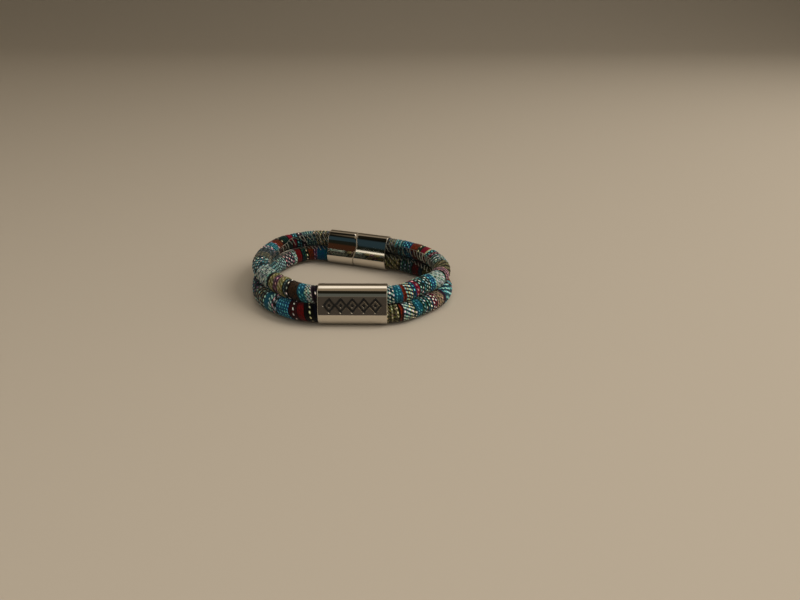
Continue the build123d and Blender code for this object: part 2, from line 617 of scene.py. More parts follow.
    def run(self, source: bpy.types.Object, name: str) -> bpy.types.Object:
        """Runs the tree on an object and keeps the result as a plain mesh.

        Args:
            source: The object that the tree starts from. It is deleted.
            name: The new piece's name.

        Returns:
            The new piece, at the origin.
        """
        modifier = source.modifiers.new("shape", "NODES")
        modifier.node_group = self.tree
        for label, value in self.values.items():
            modifier[self.identifiers[label]] = value
        graph = bpy.context.evaluated_depsgraph_get()
        mesh = bpy.data.meshes.new_from_object(source.evaluated_get(graph))
        bpy.data.objects.remove(source)
        mesh.name = name
        return add_piece(name, mesh)


def add_piece(name: str, mesh: bpy.types.Mesh) -> bpy.types.Object:
    """Puts a mesh into the scene as an object at the origin.

    Args:
        name: The object's name.
        mesh: The mesh.

    Returns:
        The object.
    """
    piece = bpy.data.objects.new(name, mesh)
    bpy.context.scene.collection.objects.link(piece)
    return piece


def mesh_from(
    name: str, points: Sequence[Vector], faces: Sequence[Sequence[int]]
) -> bpy.types.Mesh:
    """Makes a smooth-shaded mesh.

    Args:
        name: The mesh's name.
        points: Its points.
        faces: The numbers of each face's points.

    Returns:
        The mesh.
    """
    mesh = bpy.data.meshes.new(name)
    mesh.from_pydata([tuple(point) for point in points], [], [tuple(face) for face in faces])
    mesh.polygons.foreach_set("use_smooth", [True] * len(mesh.polygons))
    mesh.update()
    return mesh


def route_curve(name: str, points: Sequence[Point]) -> bpy.types.Object:
    """A smooth curve through space with the route's points as its control points.

    Args:
        name: The curve's name.
        points: The route's points.

    Returns:
        The curve object.
    """
    data = bpy.data.curves.new(name, "CURVE")
    data.dimensions = "3D"
    data.twist_mode = "Z_UP"
    spline = data.splines.new("NURBS")
    spline.points.add(len(points) - 1)
    for control, place in zip(spline.points, points):
        control.co = (*place, 1.0)
    spline.order_u = ROUTE_ORDER
    spline.use_endpoint_u = True
    spline.resolution_u = ROUTE_STEPS
    curve = bpy.data.objects.new(name, data)
    bpy.context.scene.collection.objects.link(curve)
    return curve


def curve_length(curve: bpy.types.Object) -> float:
    """The length of a curve with no bevel.

    Args:
        curve: The curve object.

    Returns:
        Its length.
    """
    graph = bpy.context.evaluated_depsgraph_get()
    mesh = bpy.data.meshes.new_from_object(curve.evaluated_get(graph))
    places = [vertex.co.copy() for vertex in mesh.vertices]
    bpy.data.meshes.remove(mesh)
    return sum((after - before).length for before, after in zip(places, places[1:]))


class SurfaceTree(NodeCanvas):
    """A material's node tree."""

    def __init__(self, name: str) -> None:
        """Makes an empty material.

        Args:
            name: The material's name.
        """
        self.material = bpy.data.materials.new(name)
        self.material.use_nodes = True
        super().__init__(self.material.node_tree)
        self.tree.nodes.clear()
        self.shader = self.tree.nodes.new("ShaderNodeBsdfPrincipled")
        output = self.tree.nodes.new("ShaderNodeOutputMaterial")
        self.tree.links.new(self.shader.outputs[0], output.inputs["Surface"])

    def principled(self, **inputs: object) -> None:
        """Sets the shader's inputs by name, with underscores for spaces."""
        for name, value in inputs.items():
            self.set(self.shader.inputs[name.replace("_", " ")], value)

    def noise(self, repeats: float, detail: float) -> Field:
        """A noise on Object coordinates, in repeats a metre and octaves of detail."""
        place = self.read(self.add("ShaderNodeTexCoord"), "Object")
        return self.read(self.add("ShaderNodeTexNoise", Vector=place, Scale=repeats, Detail=detail))

    def stored(self, name: str, output: str) -> Field:
        """Reads an attribute of the mesh, as the output that is named."""
        return self.read(self.add("ShaderNodeAttribute", {"attribute_name": name}), output)

    def bump(self, height: Field, depth: float) -> None:
        """Puts a bump on the shader, from a height field of 0 to 1 and its depth."""
        self.principled(Normal=self.add("ShaderNodeBump", Height=height, Distance=depth))


@dataclass(frozen=True)
class PolishedMetal:
    """Silver-coloured polished metal with faint ripples and smudges."""

    tint: Colour = (0.70, 0.655, 0.58)
    roughness: float = 0.03
    smudge: float = 0.05
    smudges_a_metre: float = 260.0
    ripple: float = 0.004 * MM
    ripples_a_metre: float = 180.0

    def build(self, name: str) -> bpy.types.Material:
        """Makes the material.

        Args:
            name: The material's name.

        Returns:
            The material.
        """
        tree = SurfaceTree(name)
        rough = tree.noise(self.smudges_a_metre, detail=3) * self.smudge + self.roughness
        tree.principled(Base_Color=(*self.tint, 1), Metallic=1.0, Roughness=rough)
        tree.bump(tree.noise(self.ripples_a_metre, detail=1), self.ripple)
        return tree.material


@dataclass(frozen=True)
class DarkEnamel:
    """The black fill of the engraving."""

    tint: Colour = (0.008, 0.008, 0.008)
    roughness: float = 0.45
    grain: float = 0.02 * MM
    grains_a_metre: float = 4000.0

    def build(self, name: str) -> bpy.types.Material:
        """Makes the material.

        Args:
            name: The material's name.

        Returns:
            The material.
        """
        tree = SurfaceTree(name)
        tree.principled(Base_Color=(*self.tint, 1), Roughness=self.roughness)
        tree.bump(tree.noise(self.grains_a_metre, detail=2), self.grain)
        return tree.material


@dataclass(frozen=True)
class WovenCloth:
    """Matte striped cotton whose yarn colours, with painted shade, are stored on the mesh."""

    roughness: float = 0.82
    shine: float = 0.2
    sheen: float = 0.08
    sheen_roughness: float = 0.5
    fuzz: float = 0.03 * MM
    fibres_a_metre: float = 9000.0
    fibre_shade: float = 0.5

    def build(self, name: str) -> bpy.types.Material:
        """Makes the material.

        Args:
            name: The material's name.

        Returns:
            The material.
        """
        tree = SurfaceTree(name)
        fibres = tree.noise(self.fibres_a_metre, detail=2)
        shade = fibres * self.fibre_shade + (1 - self.fibre_shade / 2)
        colour = tree.vector("SCALE", tree.stored("yarn_colour", "Color"), shade)
        tree.principled(Base_Color=colour, Roughness=self.roughness)
        tree.principled(Specular_IOR_Level=self.shine)
        tree.principled(Sheen_Weight=self.sheen, Sheen_Roughness=self.sheen_roughness)
        tree.bump(fibres, self.fuzz)
        return tree.material


@dataclass(frozen=True)
class CottonThread:
    """The pale thread of the seam's stitches, darker in patches and brighter on longer stitches."""

    tint: Colour = linear(142, 140, 124)
    roughness: float = 0.8
    fuzz: float = 0.03 * MM
    fibres_a_metre: float = 6000.0
    fibre_least: float = 0.4
    patches_a_metre: float = 90.0
    patch_contrast: float = 3.2
    patch_depth: float = 0.85
    darkest: float = 0.12
    dull_stitch: float = 0.3
    stitch_spread: float = 1.1

    def build(self, name: str) -> bpy.types.Material:
        """Makes the material.

        Args:
            name: The material's name.

        Returns:
            The material.
        """
        tree = SurfaceTree(name)
        fibres = tree.noise(self.fibres_a_metre, detail=2)
        patchy = tree.noise(self.patches_a_metre, detail=1) * self.patch_contrast - self.patch_depth
        shade = (patchy * (fibres + self.fibre_least)).at_least(self.darkest)
        luck = tree.stored("stitch_luck", "Fac")
        shade = shade * (luck * self.stitch_spread + self.dull_stitch)
        tree.principled(Base_Color=tree.vector("SCALE", self.tint, shade))
        tree.principled(Roughness=self.roughness)
        tree.bump(fibres, self.fuzz)
        return tree.material


@dataclass
class ClothCord:
    """One strand: a round cord in striped woven cloth, closed by a stitched seam.

    The seam's turns are shares of half a turn up from the ring's inner side. The leans are shares
    of the most lean, the yarns that a stripe gains in one turn. Past the lap the pattern moves on
    by the lap's shift in yarns, and is darker by the lap's painted shade, which stands in for the
    shade that falls on the cloth below the seam.
    """

    name: str
    node: str
    route: Sequence[Point]
    chart: Sequence[Stripe]
    seam_turns: Sequence[tuple[float, float]]
    leans: Sequence[tuple[float, float]]
    most_lean: float = -10.0
    lap_painted_shade: float = 0.0
    lap_shift: float = 0.0
    stitch_reach: float = 0.24
    sizes: CordSizes = field(default_factory=CordSizes)
    shades: WeaveLight = field(default_factory=WeaveLight)
    sewing: StitchSizes = field(default_factory=StitchSizes)

    def yarns(self, count: int) -> list[Yarn]:
        """Works out each yarn along the cord from the chart.

        Args:
            count: How many yarns the cord's length holds.

        Returns:
            The yarns, from the clasp's left half on.
        """
        choose = random.Random(f"{SEED} {self.name}")
        total = sum(stripe.width_mm for stripe in self.chart)
        uneven = self.sizes.uneven_girth
        yarns = []
        reach = 0.0
        for stripe in self.chart:
            start = round(reach / total * count)
            reach += stripe.width_mm
            end = round(reach / total * count)
            offset = choose.randrange(FLECK_OFFSETS)
            for number in range(end - start):
                girth = stripe.swell_mm * MM + choose.uniform(-uneven, uneven)
                if number == 0:
                    girth -= self.sizes.crease
                yarns.append(stripe.yarn(number, end - start, offset, girth))
        return yarns

    def yarn_table(self, yarns: Sequence[Yarn]) -> bpy.types.Object:
        """Keeps the yarns as points of a mesh, for the tree to read.

        Args:
            yarns: The yarns.

        Returns:
            The table, an object with a point for each yarn.
        """
        mesh = bpy.data.meshes.new(self.name + "_yarns")
        mesh.from_pydata([(0, 0, number * MM) for number in range(len(yarns))], [], [])
        for fact, (kind, slot) in YARN_FACTS.items():
            column = mesh.attributes.new(fact, kind, "POINT")
            for point, yarn in zip(column.data, yarns):
                value = getattr(yarn, fact)
                setattr(point, slot, (*value.value, 1) if isinstance(value, Dye) else value)
        return add_piece(self.name + "_yarns", mesh)

    def cover_tree(
        self, count: int, table: bpy.types.Object, cloth: bpy.types.Material
    ) -> ShapeTree:
        """The tree that turns the route into a tube with the weave's relief, and its colours with
        painted shade.

        Args:
            count: How many yarns the cord's length holds.
            table: The yarns' table.
            cloth: The cloth's material.

        Returns:
            The tree.
        """
        sizes = self.sizes
        tree = ShapeTree(
            self.name + "_weave",
            {
                "Rings": count * sizes.rings_per_yarn + 1,
                "Yarns": count,
                "Radius": sizes.radius,
                "Columns": sizes.columns,
                "Sides": sizes.columns * sizes.samples_per_column,
                "Relief": sizes.relief,
                "Fleck Lift": sizes.fleck_lift,
                "Seam Ridge": sizes.seam_ridge,
                "Wrinkle": sizes.wrinkle,
                "Yarn Table": table,
                "Material": cloth,
            },
        )
        rail = tree.add(
            "GeometryNodeResampleCurve", Curve=tree.given("Geometry"), Count=tree.given("Rings")
        )
        seam = self.seam_angle(tree)
        side, up = tree.section_axes()
        rise = tree.vector("DOT_PRODUCT", up, sizes.chart_side)
        run = tree.vector("DOT_PRODUCT", side, sizes.chart_side)
        charted = (tree.math("ARCTAN2", rise, run) - seam) / (2 * math.pi)
        lean = tree.along_curve(self.leans, self.most_lean)
        rail = tree.store(rail, "along", tree.share() * tree.given("Yarns"))
        rail = tree.store(rail, "charted", charted)
        rail = tree.store(rail, "lean", tree.step(charted, *sizes.lean_fade) * lean)
        tilted = tree.add("GeometryNodeSetCurveTilt", Curve=rail, Tilt=seam)
        circle = tree.add(
            "GeometryNodeCurvePrimitiveCircle",
            Resolution=tree.given("Sides"),
            Radius=tree.given("Radius"),
        )
        turned = tree.add("GeometryNodeTransform", Geometry=circle, Rotation=(0, 0, math.pi))
        tube = tree.tube(tilted, tree.store(turned, "around", tree.share()))
        colour, height = self.weave_fields(tree)
        # The stored colour holds the yarns' dyes with the painted shade.
        painted = tree.store(tube, "yarn_colour", colour, "FLOAT_COLOR")
        normal = tree.read(tree.add("GeometryNodeInputNormal"), "Normal")
        tree.close(tree.moved(painted, tree.vector("SCALE", normal, height)))
        return tree

    def seam_angle(self, tree: ShapeTree) -> Field:
        """The angle from the ring's inner side up to the seam, which changes along the cord."""
        return tree.along_curve(self.seam_turns, math.pi)

    def place_fields(self, tree: ShapeTree, lap: Field) -> tuple[Field, Field]:
        """Where each point is in the weave: a little astray, as in real cloth.

        Args:
            tree: The cover's tree.
            lap: 1 past the lap, else 0.

        Returns:
            The place along the cord in yarns, and round it in columns.
        """
        sizes = self.sizes
        around = tree.named("around")
        stray = tree.split(tree.read(tree.noise(sizes.strays_a_metre, detail=1.0), "Color"))
        straight = stray[0] * sizes.stray_yarns + tree.named("along")
        straight = straight + (NUDGE - sizes.stray_yarns / 2)
        straight = lap * self.lap_shift + straight
        along = (around - tree.named("charted")) * tree.named("lean") + straight
        column = around * tree.given("Columns") + NUDGE + stray[1]
        return along, column - along.fract() * sizes.yarn_skew

    def weave_fields(self, tree: ShapeTree) -> tuple[Field, Field]:
        """The colour, with painted shade, and the height of each point of the cloth.

        Args:
            tree: The cover's tree.

        Returns:
            The colour and the height.
        """
        sizes, shades = self.sizes, self.shades
        around = tree.named("around")
        lap = tree.step(around, *sizes.lap)
        along, column = self.place_fields(tree, lap)
        across = along.fract()
        yarn = along.floor().at_least(0.0).at_most(tree.given("Yarns") - 1.0)
        holder = tree.add("GeometryNodeObjectInfo", Object=tree.given("Yarn Table"))
        table = tree.read(holder, "Geometry")
        ground, fleck, rhythm, girth, contrast = (
            tree.sampled(table, yarn, fact, kind) for fact, (kind, _) in YARN_FACTS.items()
        )

        period, share, phase = tree.split(rhythm)
        turns = (column + phase) / period
        chance = tree.read(tree.cell_noise(yarn, turns.floor()), "Value")
        flecked = (turns.fract() < share) * (chance > shades.missing_flecks)
        flecked = flecked * (across.from_whole(0.5) > shades.fleck_margin)
        arch = (turns.fract() / share.at_least(LEAST_SHARE) * math.pi).sine()
        ripple = (((column + yarn) * 0.5).fract() * math.pi).sine()
        low = ripple * (1 - shades.ground_foot) + shades.ground_foot
        low = tree.mix("FLOAT", contrast, shades.plain_height, low)
        lift = tree.given("Fleck Lift") / tree.given("Relief") + shades.fleck_arch
        high = arch * lift + shades.fleck_foot
        rise = (across * math.pi).sine() ** shades.roundness
        rise = rise * tree.mix("FLOAT", flecked, low, high)

        cell = tree.cell_noise(yarn, column.floor())
        uneven = tree.read(cell, "Value") * shades.cell_spread + shades.dullest_cell
        shade = tree.mix("FLOAT", contrast * shades.cell_share, 1.0, uneven)
        # Painted shade: every other cell of the ground is darker, standing in for the shade in the
        # sunk cells.
        parity = ((column.floor() + yarn) * 0.5).fract()
        ground_painted_shade = shades.ground - parity * shades.sunk_painted_shade * contrast
        fleck_shade = chance * shades.fleck_spread + shades.dullest_fleck
        shade = shade * tree.mix("FLOAT", flecked, ground_painted_shade, fleck_shade)
        # Painted shade: the weave's colour is darker where it lies low, standing in for the shade
        # in its hollows.
        painted_hollow_shade = rise.at_most(1.0) * (1 - shades.painted_hollow_shade) + shades.painted_hollow_shade
        # Painted shade: the cloth is darker along the seam, standing in for the shade in its
        # groove. The same curve raises the seam's ridge.
        near = (around.from_whole(0.5) / sizes.seam_width) ** 2.0
        seam = tree.math("POWER", math.e, near * -1.0)
        light = shade * painted_hollow_shade * (1.0 - seam * shades.seam_painted_shade)
        # Painted shade: the cloth past the lap is darker by the lap's painted shade.
        light = light * (1.0 - lap * self.lap_painted_shade)
        dyed_and_painted_shade = tree.vector("SCALE", tree.mix("RGBA", flecked, ground, fleck), light)
        cast = tree.vector("SCALE", tree.read(cell, "Color"), shades.cast_spread)
        cast = tree.vector("ADD", cast, (shades.least_cast,) * 3)
        colour = tree.vector("MULTIPLY", dyed_and_painted_shade, cast)

        lump = tree.read(tree.noise(sizes.wrinkles_a_metre, detail=2.0)) - 0.5
        height = rise * tree.given("Relief") + girth
        height = lump * tree.given("Wrinkle") + height
        return colour, seam * tree.given("Seam Ridge") + height

    def stitches(self, thread: bpy.types.Material) -> bpy.types.Object:
        """Sews slanting stitches over the seam, with a corded edge along their upper ends.

        Args:
            thread: The stitches' material.

        Returns:
            The stitches as one piece.
        """
        sizes, sewing = self.sizes, self.sewing
        curve = route_curve(self.name + "_seam", self.route)
        tree = ShapeTree(
            self.name + "_stitching",
            {
                "Points": round(curve_length(curve) / sewing.pitch) * sewing.points,
                "Distance": sizes.radius + sizes.relief + sizes.seam_ridge * sewing.ridge_share,
                "Half Width": self.stitch_reach,
                "Thread Radius": sewing.thread,
                "Edge Radius": sewing.edge,
                "Material": thread,
            },
        )
        line = tree.add(
            "GeometryNodeResampleCurve", Curve=tree.given("Geometry"), Count=tree.given("Points")
        )
        seam = self.seam_angle(tree)
        side, up = tree.section_axes()
        place = tree.read(tree.add("GeometryNodeInputIndex")) / float(sewing.points)
        beat = place.fract()
        rising = beat < sewing.out_share
        back = (1.0 - beat) / (1 - sewing.out_share)
        reach = tree.mix("FLOAT", rising, back, beat / sewing.out_share)
        settings = {"noise_dimensions": "1D"}
        luck = tree.read(tree.add("ShaderNodeTexWhiteNoise", settings, W=place.floor()), "Value")
        span = luck * sewing.span_spread + sewing.least_span
        slack = tree.read(tree.noise(sewing.slacks_a_metre, detail=1.0)) - sewing.slack_middle
        swing = (reach * sewing.swing - sewing.swing_back) * span + slack
        arch = (reach * math.pi).sine()
        lifted = arch * tree.mix("FLOAT", rising, -sewing.dip, sewing.lift)
        marked = tree.store(line, "stitch_luck", luck)

        def sewn(angle: Field, distance: Field, radius: Field) -> Field:
            """Runs a round thread beside the cord's middle line.

            Args:
                angle: Where it runs round the cord, from the ring's inner side upwards.
                distance: How far from the middle line.
                radius: The thread's radius.

            Returns:
                The thread.
            """
            across = tree.vector("SCALE", side, tree.math("COSINE", angle))
            upward = tree.vector("SCALE", up, angle.sine())
            offset = tree.vector("SCALE", tree.vector("ADD", across, upward), distance)
            ring = tree.add(
                "GeometryNodeCurvePrimitiveCircle", Resolution=sewing.sides, Radius=radius
            )
            return tree.tube(tree.moved(marked, offset), ring)

        half, distance = tree.given("Half Width"), tree.given("Distance")
        thread_angle = swing * half + seam
        threads = sewn(thread_angle, lifted + distance, tree.given("Thread Radius"))
        edge_angle = half * sewing.edge_place + seam
        edge = sewn(edge_angle, distance - sewing.edge_depth, tree.given("Edge Radius"))
        tree.close(tree.joined((threads, edge)))
        return tree.run(curve, self.name + "_stitches")

    def build(
        self, cloth: bpy.types.Material, thread: bpy.types.Material
    ) -> list[bpy.types.Object]:
        """Makes the strand's cover and its stitches, and hangs them on the frame.

        Args:
            cloth: The cloth's material.
            thread: The stitches' material.

        Returns:
            The pieces.
        """
        curve = route_curve(self.name + "_route", self.route)
        length = curve_length(curve)
        count = round(length / self.sizes.yarn_pitch)
        LOG.info("%s: %.1f mm long, %d yarns", self.name, length / MM, count)
        table = self.yarn_table(self.yarns(count))
        cover = self.cover_tree(count, table, cloth).run(curve, self.name + "_cloth")
        bpy.data.objects.remove(table)
        seam = self.stitches(thread)
        for piece in (cover, seam):
            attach(piece, "root")
        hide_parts(self.node)
        return [cover, seam]


@dataclass
class Slot:
    """The round-ended section of the metal pieces, standing on its end."""

    height: float
    thickness: float
    arc_steps: int = 40
    flat_steps: int = 4
    flat_share: float = 0.95

    def ring(self, inset: float) -> list[tuple[float, float]]:
        """Points round the section, all of them moved in by the inset.

        Args:
            inset: How far inside the outer surface.

        Returns:
            Pairs of across and up, from the top's right end round over the top.
        """
        radius = self.thickness / 2 - inset
        half_flat = (self.height - self.thickness) / 2
        points = []
        for side, start in ((1, 0.0), (-1, math.pi)):
            for step in range(self.arc_steps + 1):
                angle = start + math.pi * step / self.arc_steps
                up = side * half_flat + radius * math.sin(angle)
                points.append((radius * math.cos(angle), up))
            for step in range(self.flat_steps + 1):
                up = half_flat * self.flat_share * (1 - 2 * step / self.flat_steps)
                points.append((-side * radius, side * up))
        return points


class RingMesh:
    """Joins rings of points into a smooth closed skin."""

    def __init__(self) -> None:
        """Starts with no rings."""
        self.points: list[Vector] = []
        self.faces: list[list[int]] = []
        self.size = 0

    def ring(self, points: Sequence[Vector]) -> int:
        """Adds a ring.

        Args:
            points: The ring's points. Every ring has the same number of them.

        Returns:
            The number of its first point.
        """
        start = len(self.points)
        self.points += points
        self.size = len(points)
        return start

    def bridge(self, first: int, second: int) -> None:
        """Joins two rings with quads.

        Args:
            first: The first ring's first point.
            second: The second ring's first point.
        """
        for step in range(self.size):
            after = (step + 1) % self.size
            self.faces.append([first + step, first + after, second + after, second + step])

    def cap(self, start: int, top: int, flipped: bool) -> None:
        """Closes a ring with strips from its right side to its left side.

        Args:
            start: The ring's first point.
            top: The topmost point's place in the ring.
            flipped: True turns the strips over.
        """
        half = self.size // 2
        left = [start + (top + step) % self.size for step in range(half + 1)]
        right = [start + (top - step) % self.size for step in range(half + 1)]
        for step in range(half):
            corners = (right[step], left[step], left[step + 1], right[step + 1])
            face = list(dict.fromkeys(corners))
            self.faces.append(face[::-1] if flipped else face)


def rounding(radius: float, steps: int = 5) -> list[tuple[float, float]]:
    """A quarter round from a side to an end.

    Args:
        radius: The round's radius.
        steps: How many faces it has.

    Returns:
        Pairs of setback from the end and inset from the side.
    """
    pairs = []
    for step in range(steps + 1):
        angle = math.pi / 2 * step / steps
        pairs.append((radius * (1 - math.sin(angle)), radius * (1 - math.cos(angle))))
    return pairs


def outward(mesh: bpy.types.Mesh) -> None:
    """Turns a closed mesh's faces outwards.

    Args:
        mesh: The mesh.
    """
    work = bmesh.new()
    work.from_mesh(mesh)
    bmesh.ops.recalc_face_normals(work, faces=work.faces)
    work.to_mesh(mesh)
    work.free()


def finish_metal(piece: bpy.types.Object) -> None:
    """Shades a metal piece smooth, with its flat faces kept flat and its edges sharp.

    Args:
        piece: The piece.
    """
    piece.data.polygons.foreach_set("use_smooth", [True] * len(piece.data.polygons))
    piece.data.set_sharp_from_angle(angle=SHARP_ANGLE)
    weighted = piece.modifiers.new("weighted", "WEIGHTED_NORMAL")
    weighted.keep_sharp = True
    weighted.weight = FLAT_FACE_WEIGHT


@dataclass
class SliderTube:
    """The flat tube at the front, open at both ends, with a row of engraved lozenges."""

    length: float = 22.8 * MM
    height: float = 13.48 * MM
    thickness: float = 7.46 * MM
    wall: float = 0.58 * MM
    lean: float = math.radians(17.5)
    edge: float = 0.34 * MM
    lip: float = 0.14 * MM
    lozenges: int = 5
    end_margin: float = 2.0 * MM
    side_margin: float = 0.45 * MM
    stroke: float = 0.62 * MM
    core: float = 0.40
    depth: float = 0.20 * MM
    wall_spread: float = 0.14 * MM
    floor_inset: float = 0.02 * MM

    def centre(self) -> Vector:
        """The tube's middle, from the frame."""
        low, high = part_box("slider_tube")
        return (low + high) / 2

    def to_front(self) -> Matrix:
        """The turn that leans the upright tube back."""
        return Matrix.Rotation(-self.lean, 3, "X")

    def body(self) -> bpy.types.Mesh:
        """The plain tube, without its engraving.

        Returns:
            A closed mesh.
        """
        slot = Slot(self.height, self.thickness)
        skin = RingMesh()
        inner = [(back, self.wall - inset) for back, inset in rounding(self.lip)]
        rim = rounding(self.edge) + inner[::-1]
        stations = [(-self.length / 2 + back, inset) for back, inset in rim[::-1]]
        stations += [(self.length / 2 - back, inset) for back, inset in rim]
        middle, turn = self.centre(), self.to_front()
        starts = []
        for along, inset in stations:
            ring = [middle + turn @ Vector((along, across, up)) for across, up in slot.ring(inset)]
            starts.append(skin.ring(ring))
        for first, second in zip(starts, starts[1:] + starts[:1]):
            skin.bridge(first, second)
        return mesh_from("slider_tube_metal", skin.points, skin.faces)

    def pitch(self) -> float:
        """The distance between two lozenges' middles."""
        return (self.length - 2 * self.end_margin) / self.lozenges

    def lozenge_row(
        self, tree: ShapeTree, line: bpy.types.Node, wide: float, high: float, spread: float
    ) -> Field:
        """A row of lozenge-shaped cutters.

        Args:
            tree: The engraving's tree.
            line: The lozenges' middles.
            wide: A lozenge's width.
            high: Its height.
            spread: How far each side slopes out from the engraving's floor to the tube's face.

        Returns:
            The cutters.
        """
        reach = wide * high / 2 / math.hypot(wide, high)
        cone = tree.add(
            "GeometryNodeMeshCone",
            {"fill_type": "NGON"},
            Vertices=4,
            Radius_Top=1 + 2 * spread / reach,
            Radius_Bottom=1 - math.copysign(self.floor_inset, spread) / reach,
            Depth=tree.given("Depth") * 2.0,
        )
        shaped = tree.add(
            "GeometryNodeTransform",
            Geometry=tree.read(cone, "Mesh"),
            Translation=tree.add("ShaderNodeCombineXYZ", Z=tree.given("Depth") * -1.0),
            Scale=(wide / 2, high / 2, 1),
        )
        row = tree.add("GeometryNodeInstanceOnPoints", Points=line, Instance=shaped)
        return tree.read(tree.add("GeometryNodeRealizeInstances", Geometry=row))

    @staticmethod
    def cut(tree: ShapeTree, shape: Field | bpy.types.Node, cutter: Field) -> Field:
        """Cuts one shape out of another.

        Args:
            tree: The engraving's tree.
            shape: What is cut.
            cutter: What cuts it.

        Returns:
            What is left.
        """
        settings = {"operation": "DIFFERENCE", "solver": "EXACT"}
        node = tree.add("GeometryNodeMeshBoolean", settings)
        tree.set(node.inputs["Mesh 1"], shape)
        tree.set(node.inputs["Mesh 2"], cutter)
        return tree.read(node, "Mesh")

    def engraving_tree(self, metal: bpy.types.Material, enamel: bpy.types.Material) -> ShapeTree:
        """The tree that cuts the row of lozenges into the front face.

        Args:
            metal: The tube's material.
            enamel: The material of the engraving's floor.

        Returns:
            The tree.
        """
        width = self.pitch() + self.stroke
        height = self.height - self.thickness - 2 * self.side_margin
        side = math.hypot(width, height)
        inner_width = width - 2 * self.stroke * side / height
        inner_height = height - 2 * self.stroke * side / width
        tree = ShapeTree(
            "slider_engraving",
            {
                "Count": self.lozenges,
                "Pitch": self.pitch(),
                "Depth": self.depth,
                "Metal": metal,
                "Material": enamel,
            },
        )
        line = tree.add(
            "GeometryNodeMeshLine",
            Count=tree.given("Count"),
            Start_Location=(-self.pitch() * (self.lozenges - 1) / 2, 0, 0),
            Offset=tree.add("ShaderNodeCombineXYZ", X=tree.given("Pitch")),
        )
        spread, core = self.wall_spread, self.core
        outer = self.lozenge_row(tree, line, width, height, spread)
        inner = self.lozenge_row(tree, line, inner_width, inner_height, -spread)
        cores = self.lozenge_row(tree, line, inner_width * core, inner_height * core, spread)
        settings = {"operation": "UNION", "solver": "EXACT"}
        linked = tree.add("GeometryNodeMeshBoolean", settings, Self_Intersection=True)
        tree.set(linked.inputs["Mesh 2"], outer)
        frames = self.cut(tree, tree.read(linked, "Mesh"), inner)
        bright = tree.dressed(tree.joined((frames, cores)), "Metal")
        normal = tree.read(tree.add("GeometryNodeInputNormal"), "Normal")
        is_floor = tree.split(normal)[2] < FLOOR_FACING
        black = tree.dressed(bright, "Material", Selection=is_floor)
        face = self.centre() + self.to_front() @ Vector((0, -self.thickness / 2, 0))
        placed = tree.add(
            "GeometryNodeTransform",
            Geometry=black,
            Translation=tuple(face),
            Rotation=(math.pi / 2 - self.lean, 0, 0),
        )
        bare = tree.dressed(tree.given("Geometry"), "Metal")
        engraved = self.cut(tree, bare, tree.read(placed))
        real = tree.add("GeometryNodeRealizeInstances", Geometry=engraved)
        tree.tree.links.new(real.outputs[0], tree.exit.inputs[0])
        return tree

    def build(self, metal: bpy.types.Material, enamel: bpy.types.Material) -> bpy.types.Object:
        """Makes the engraved tube and hangs it on the frame.

        Args:
            metal: The tube's material.
            enamel: The material of the engraving's floor.

        Returns:
            The piece.
        """
        source = add_piece("slider_body", self.body())
        piece = self.engraving_tree(metal, enamel).run(source, "slider_tube_polished")
        finish_metal(piece)
        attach(piece, "root")
        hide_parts("slider_tube")
        return piece


class Side(Enum):
    """Which half of the clasp, as the sign of its direction along X."""

    LEFT = -1
    RIGHT = 1


@dataclass
class ClaspFrame:
    """Where the clasp lies: its middle, and its directions along, up and out of its face."""

    height: float = 13.28 * MM
    thickness: float = 7.26 * MM
    lean: float = math.radians(17.0)
    turn: float = math.radians(18.15)
    kink: float = math.radians(6.3)
    place: tuple[float, float] = (0.99 * MM, 22.2 * MM)

    def centre(self) -> Vector:
        """The middle of the seam, with the clasp resting on the floor."""
        flat = self.height - self.thickness
        return Vector((*self.place, self.thickness / 2 + flat / 2 * math.cos(self.lean)))

    def up(self) -> Vector:
        """The direction up the leaning face."""
        back = Vector((math.sin(self.turn), math.cos(self.turn), 0))
        return back * math.sin(self.lean) + Vector((0, 0, math.cos(self.lean)))

    def axis(self, side: Side) -> Vector:
        """The direction from the seam to a half's mouth.

        Args:
            side: Which half.

        Returns:
            The direction.
        """
        along = Vector((math.cos(self.turn), -math.sin(self.turn), 0))
        front = along.cross(self.up())
        return along * side.value * math.cos(self.kink / 2) + front * math.sin(self.kink / 2)


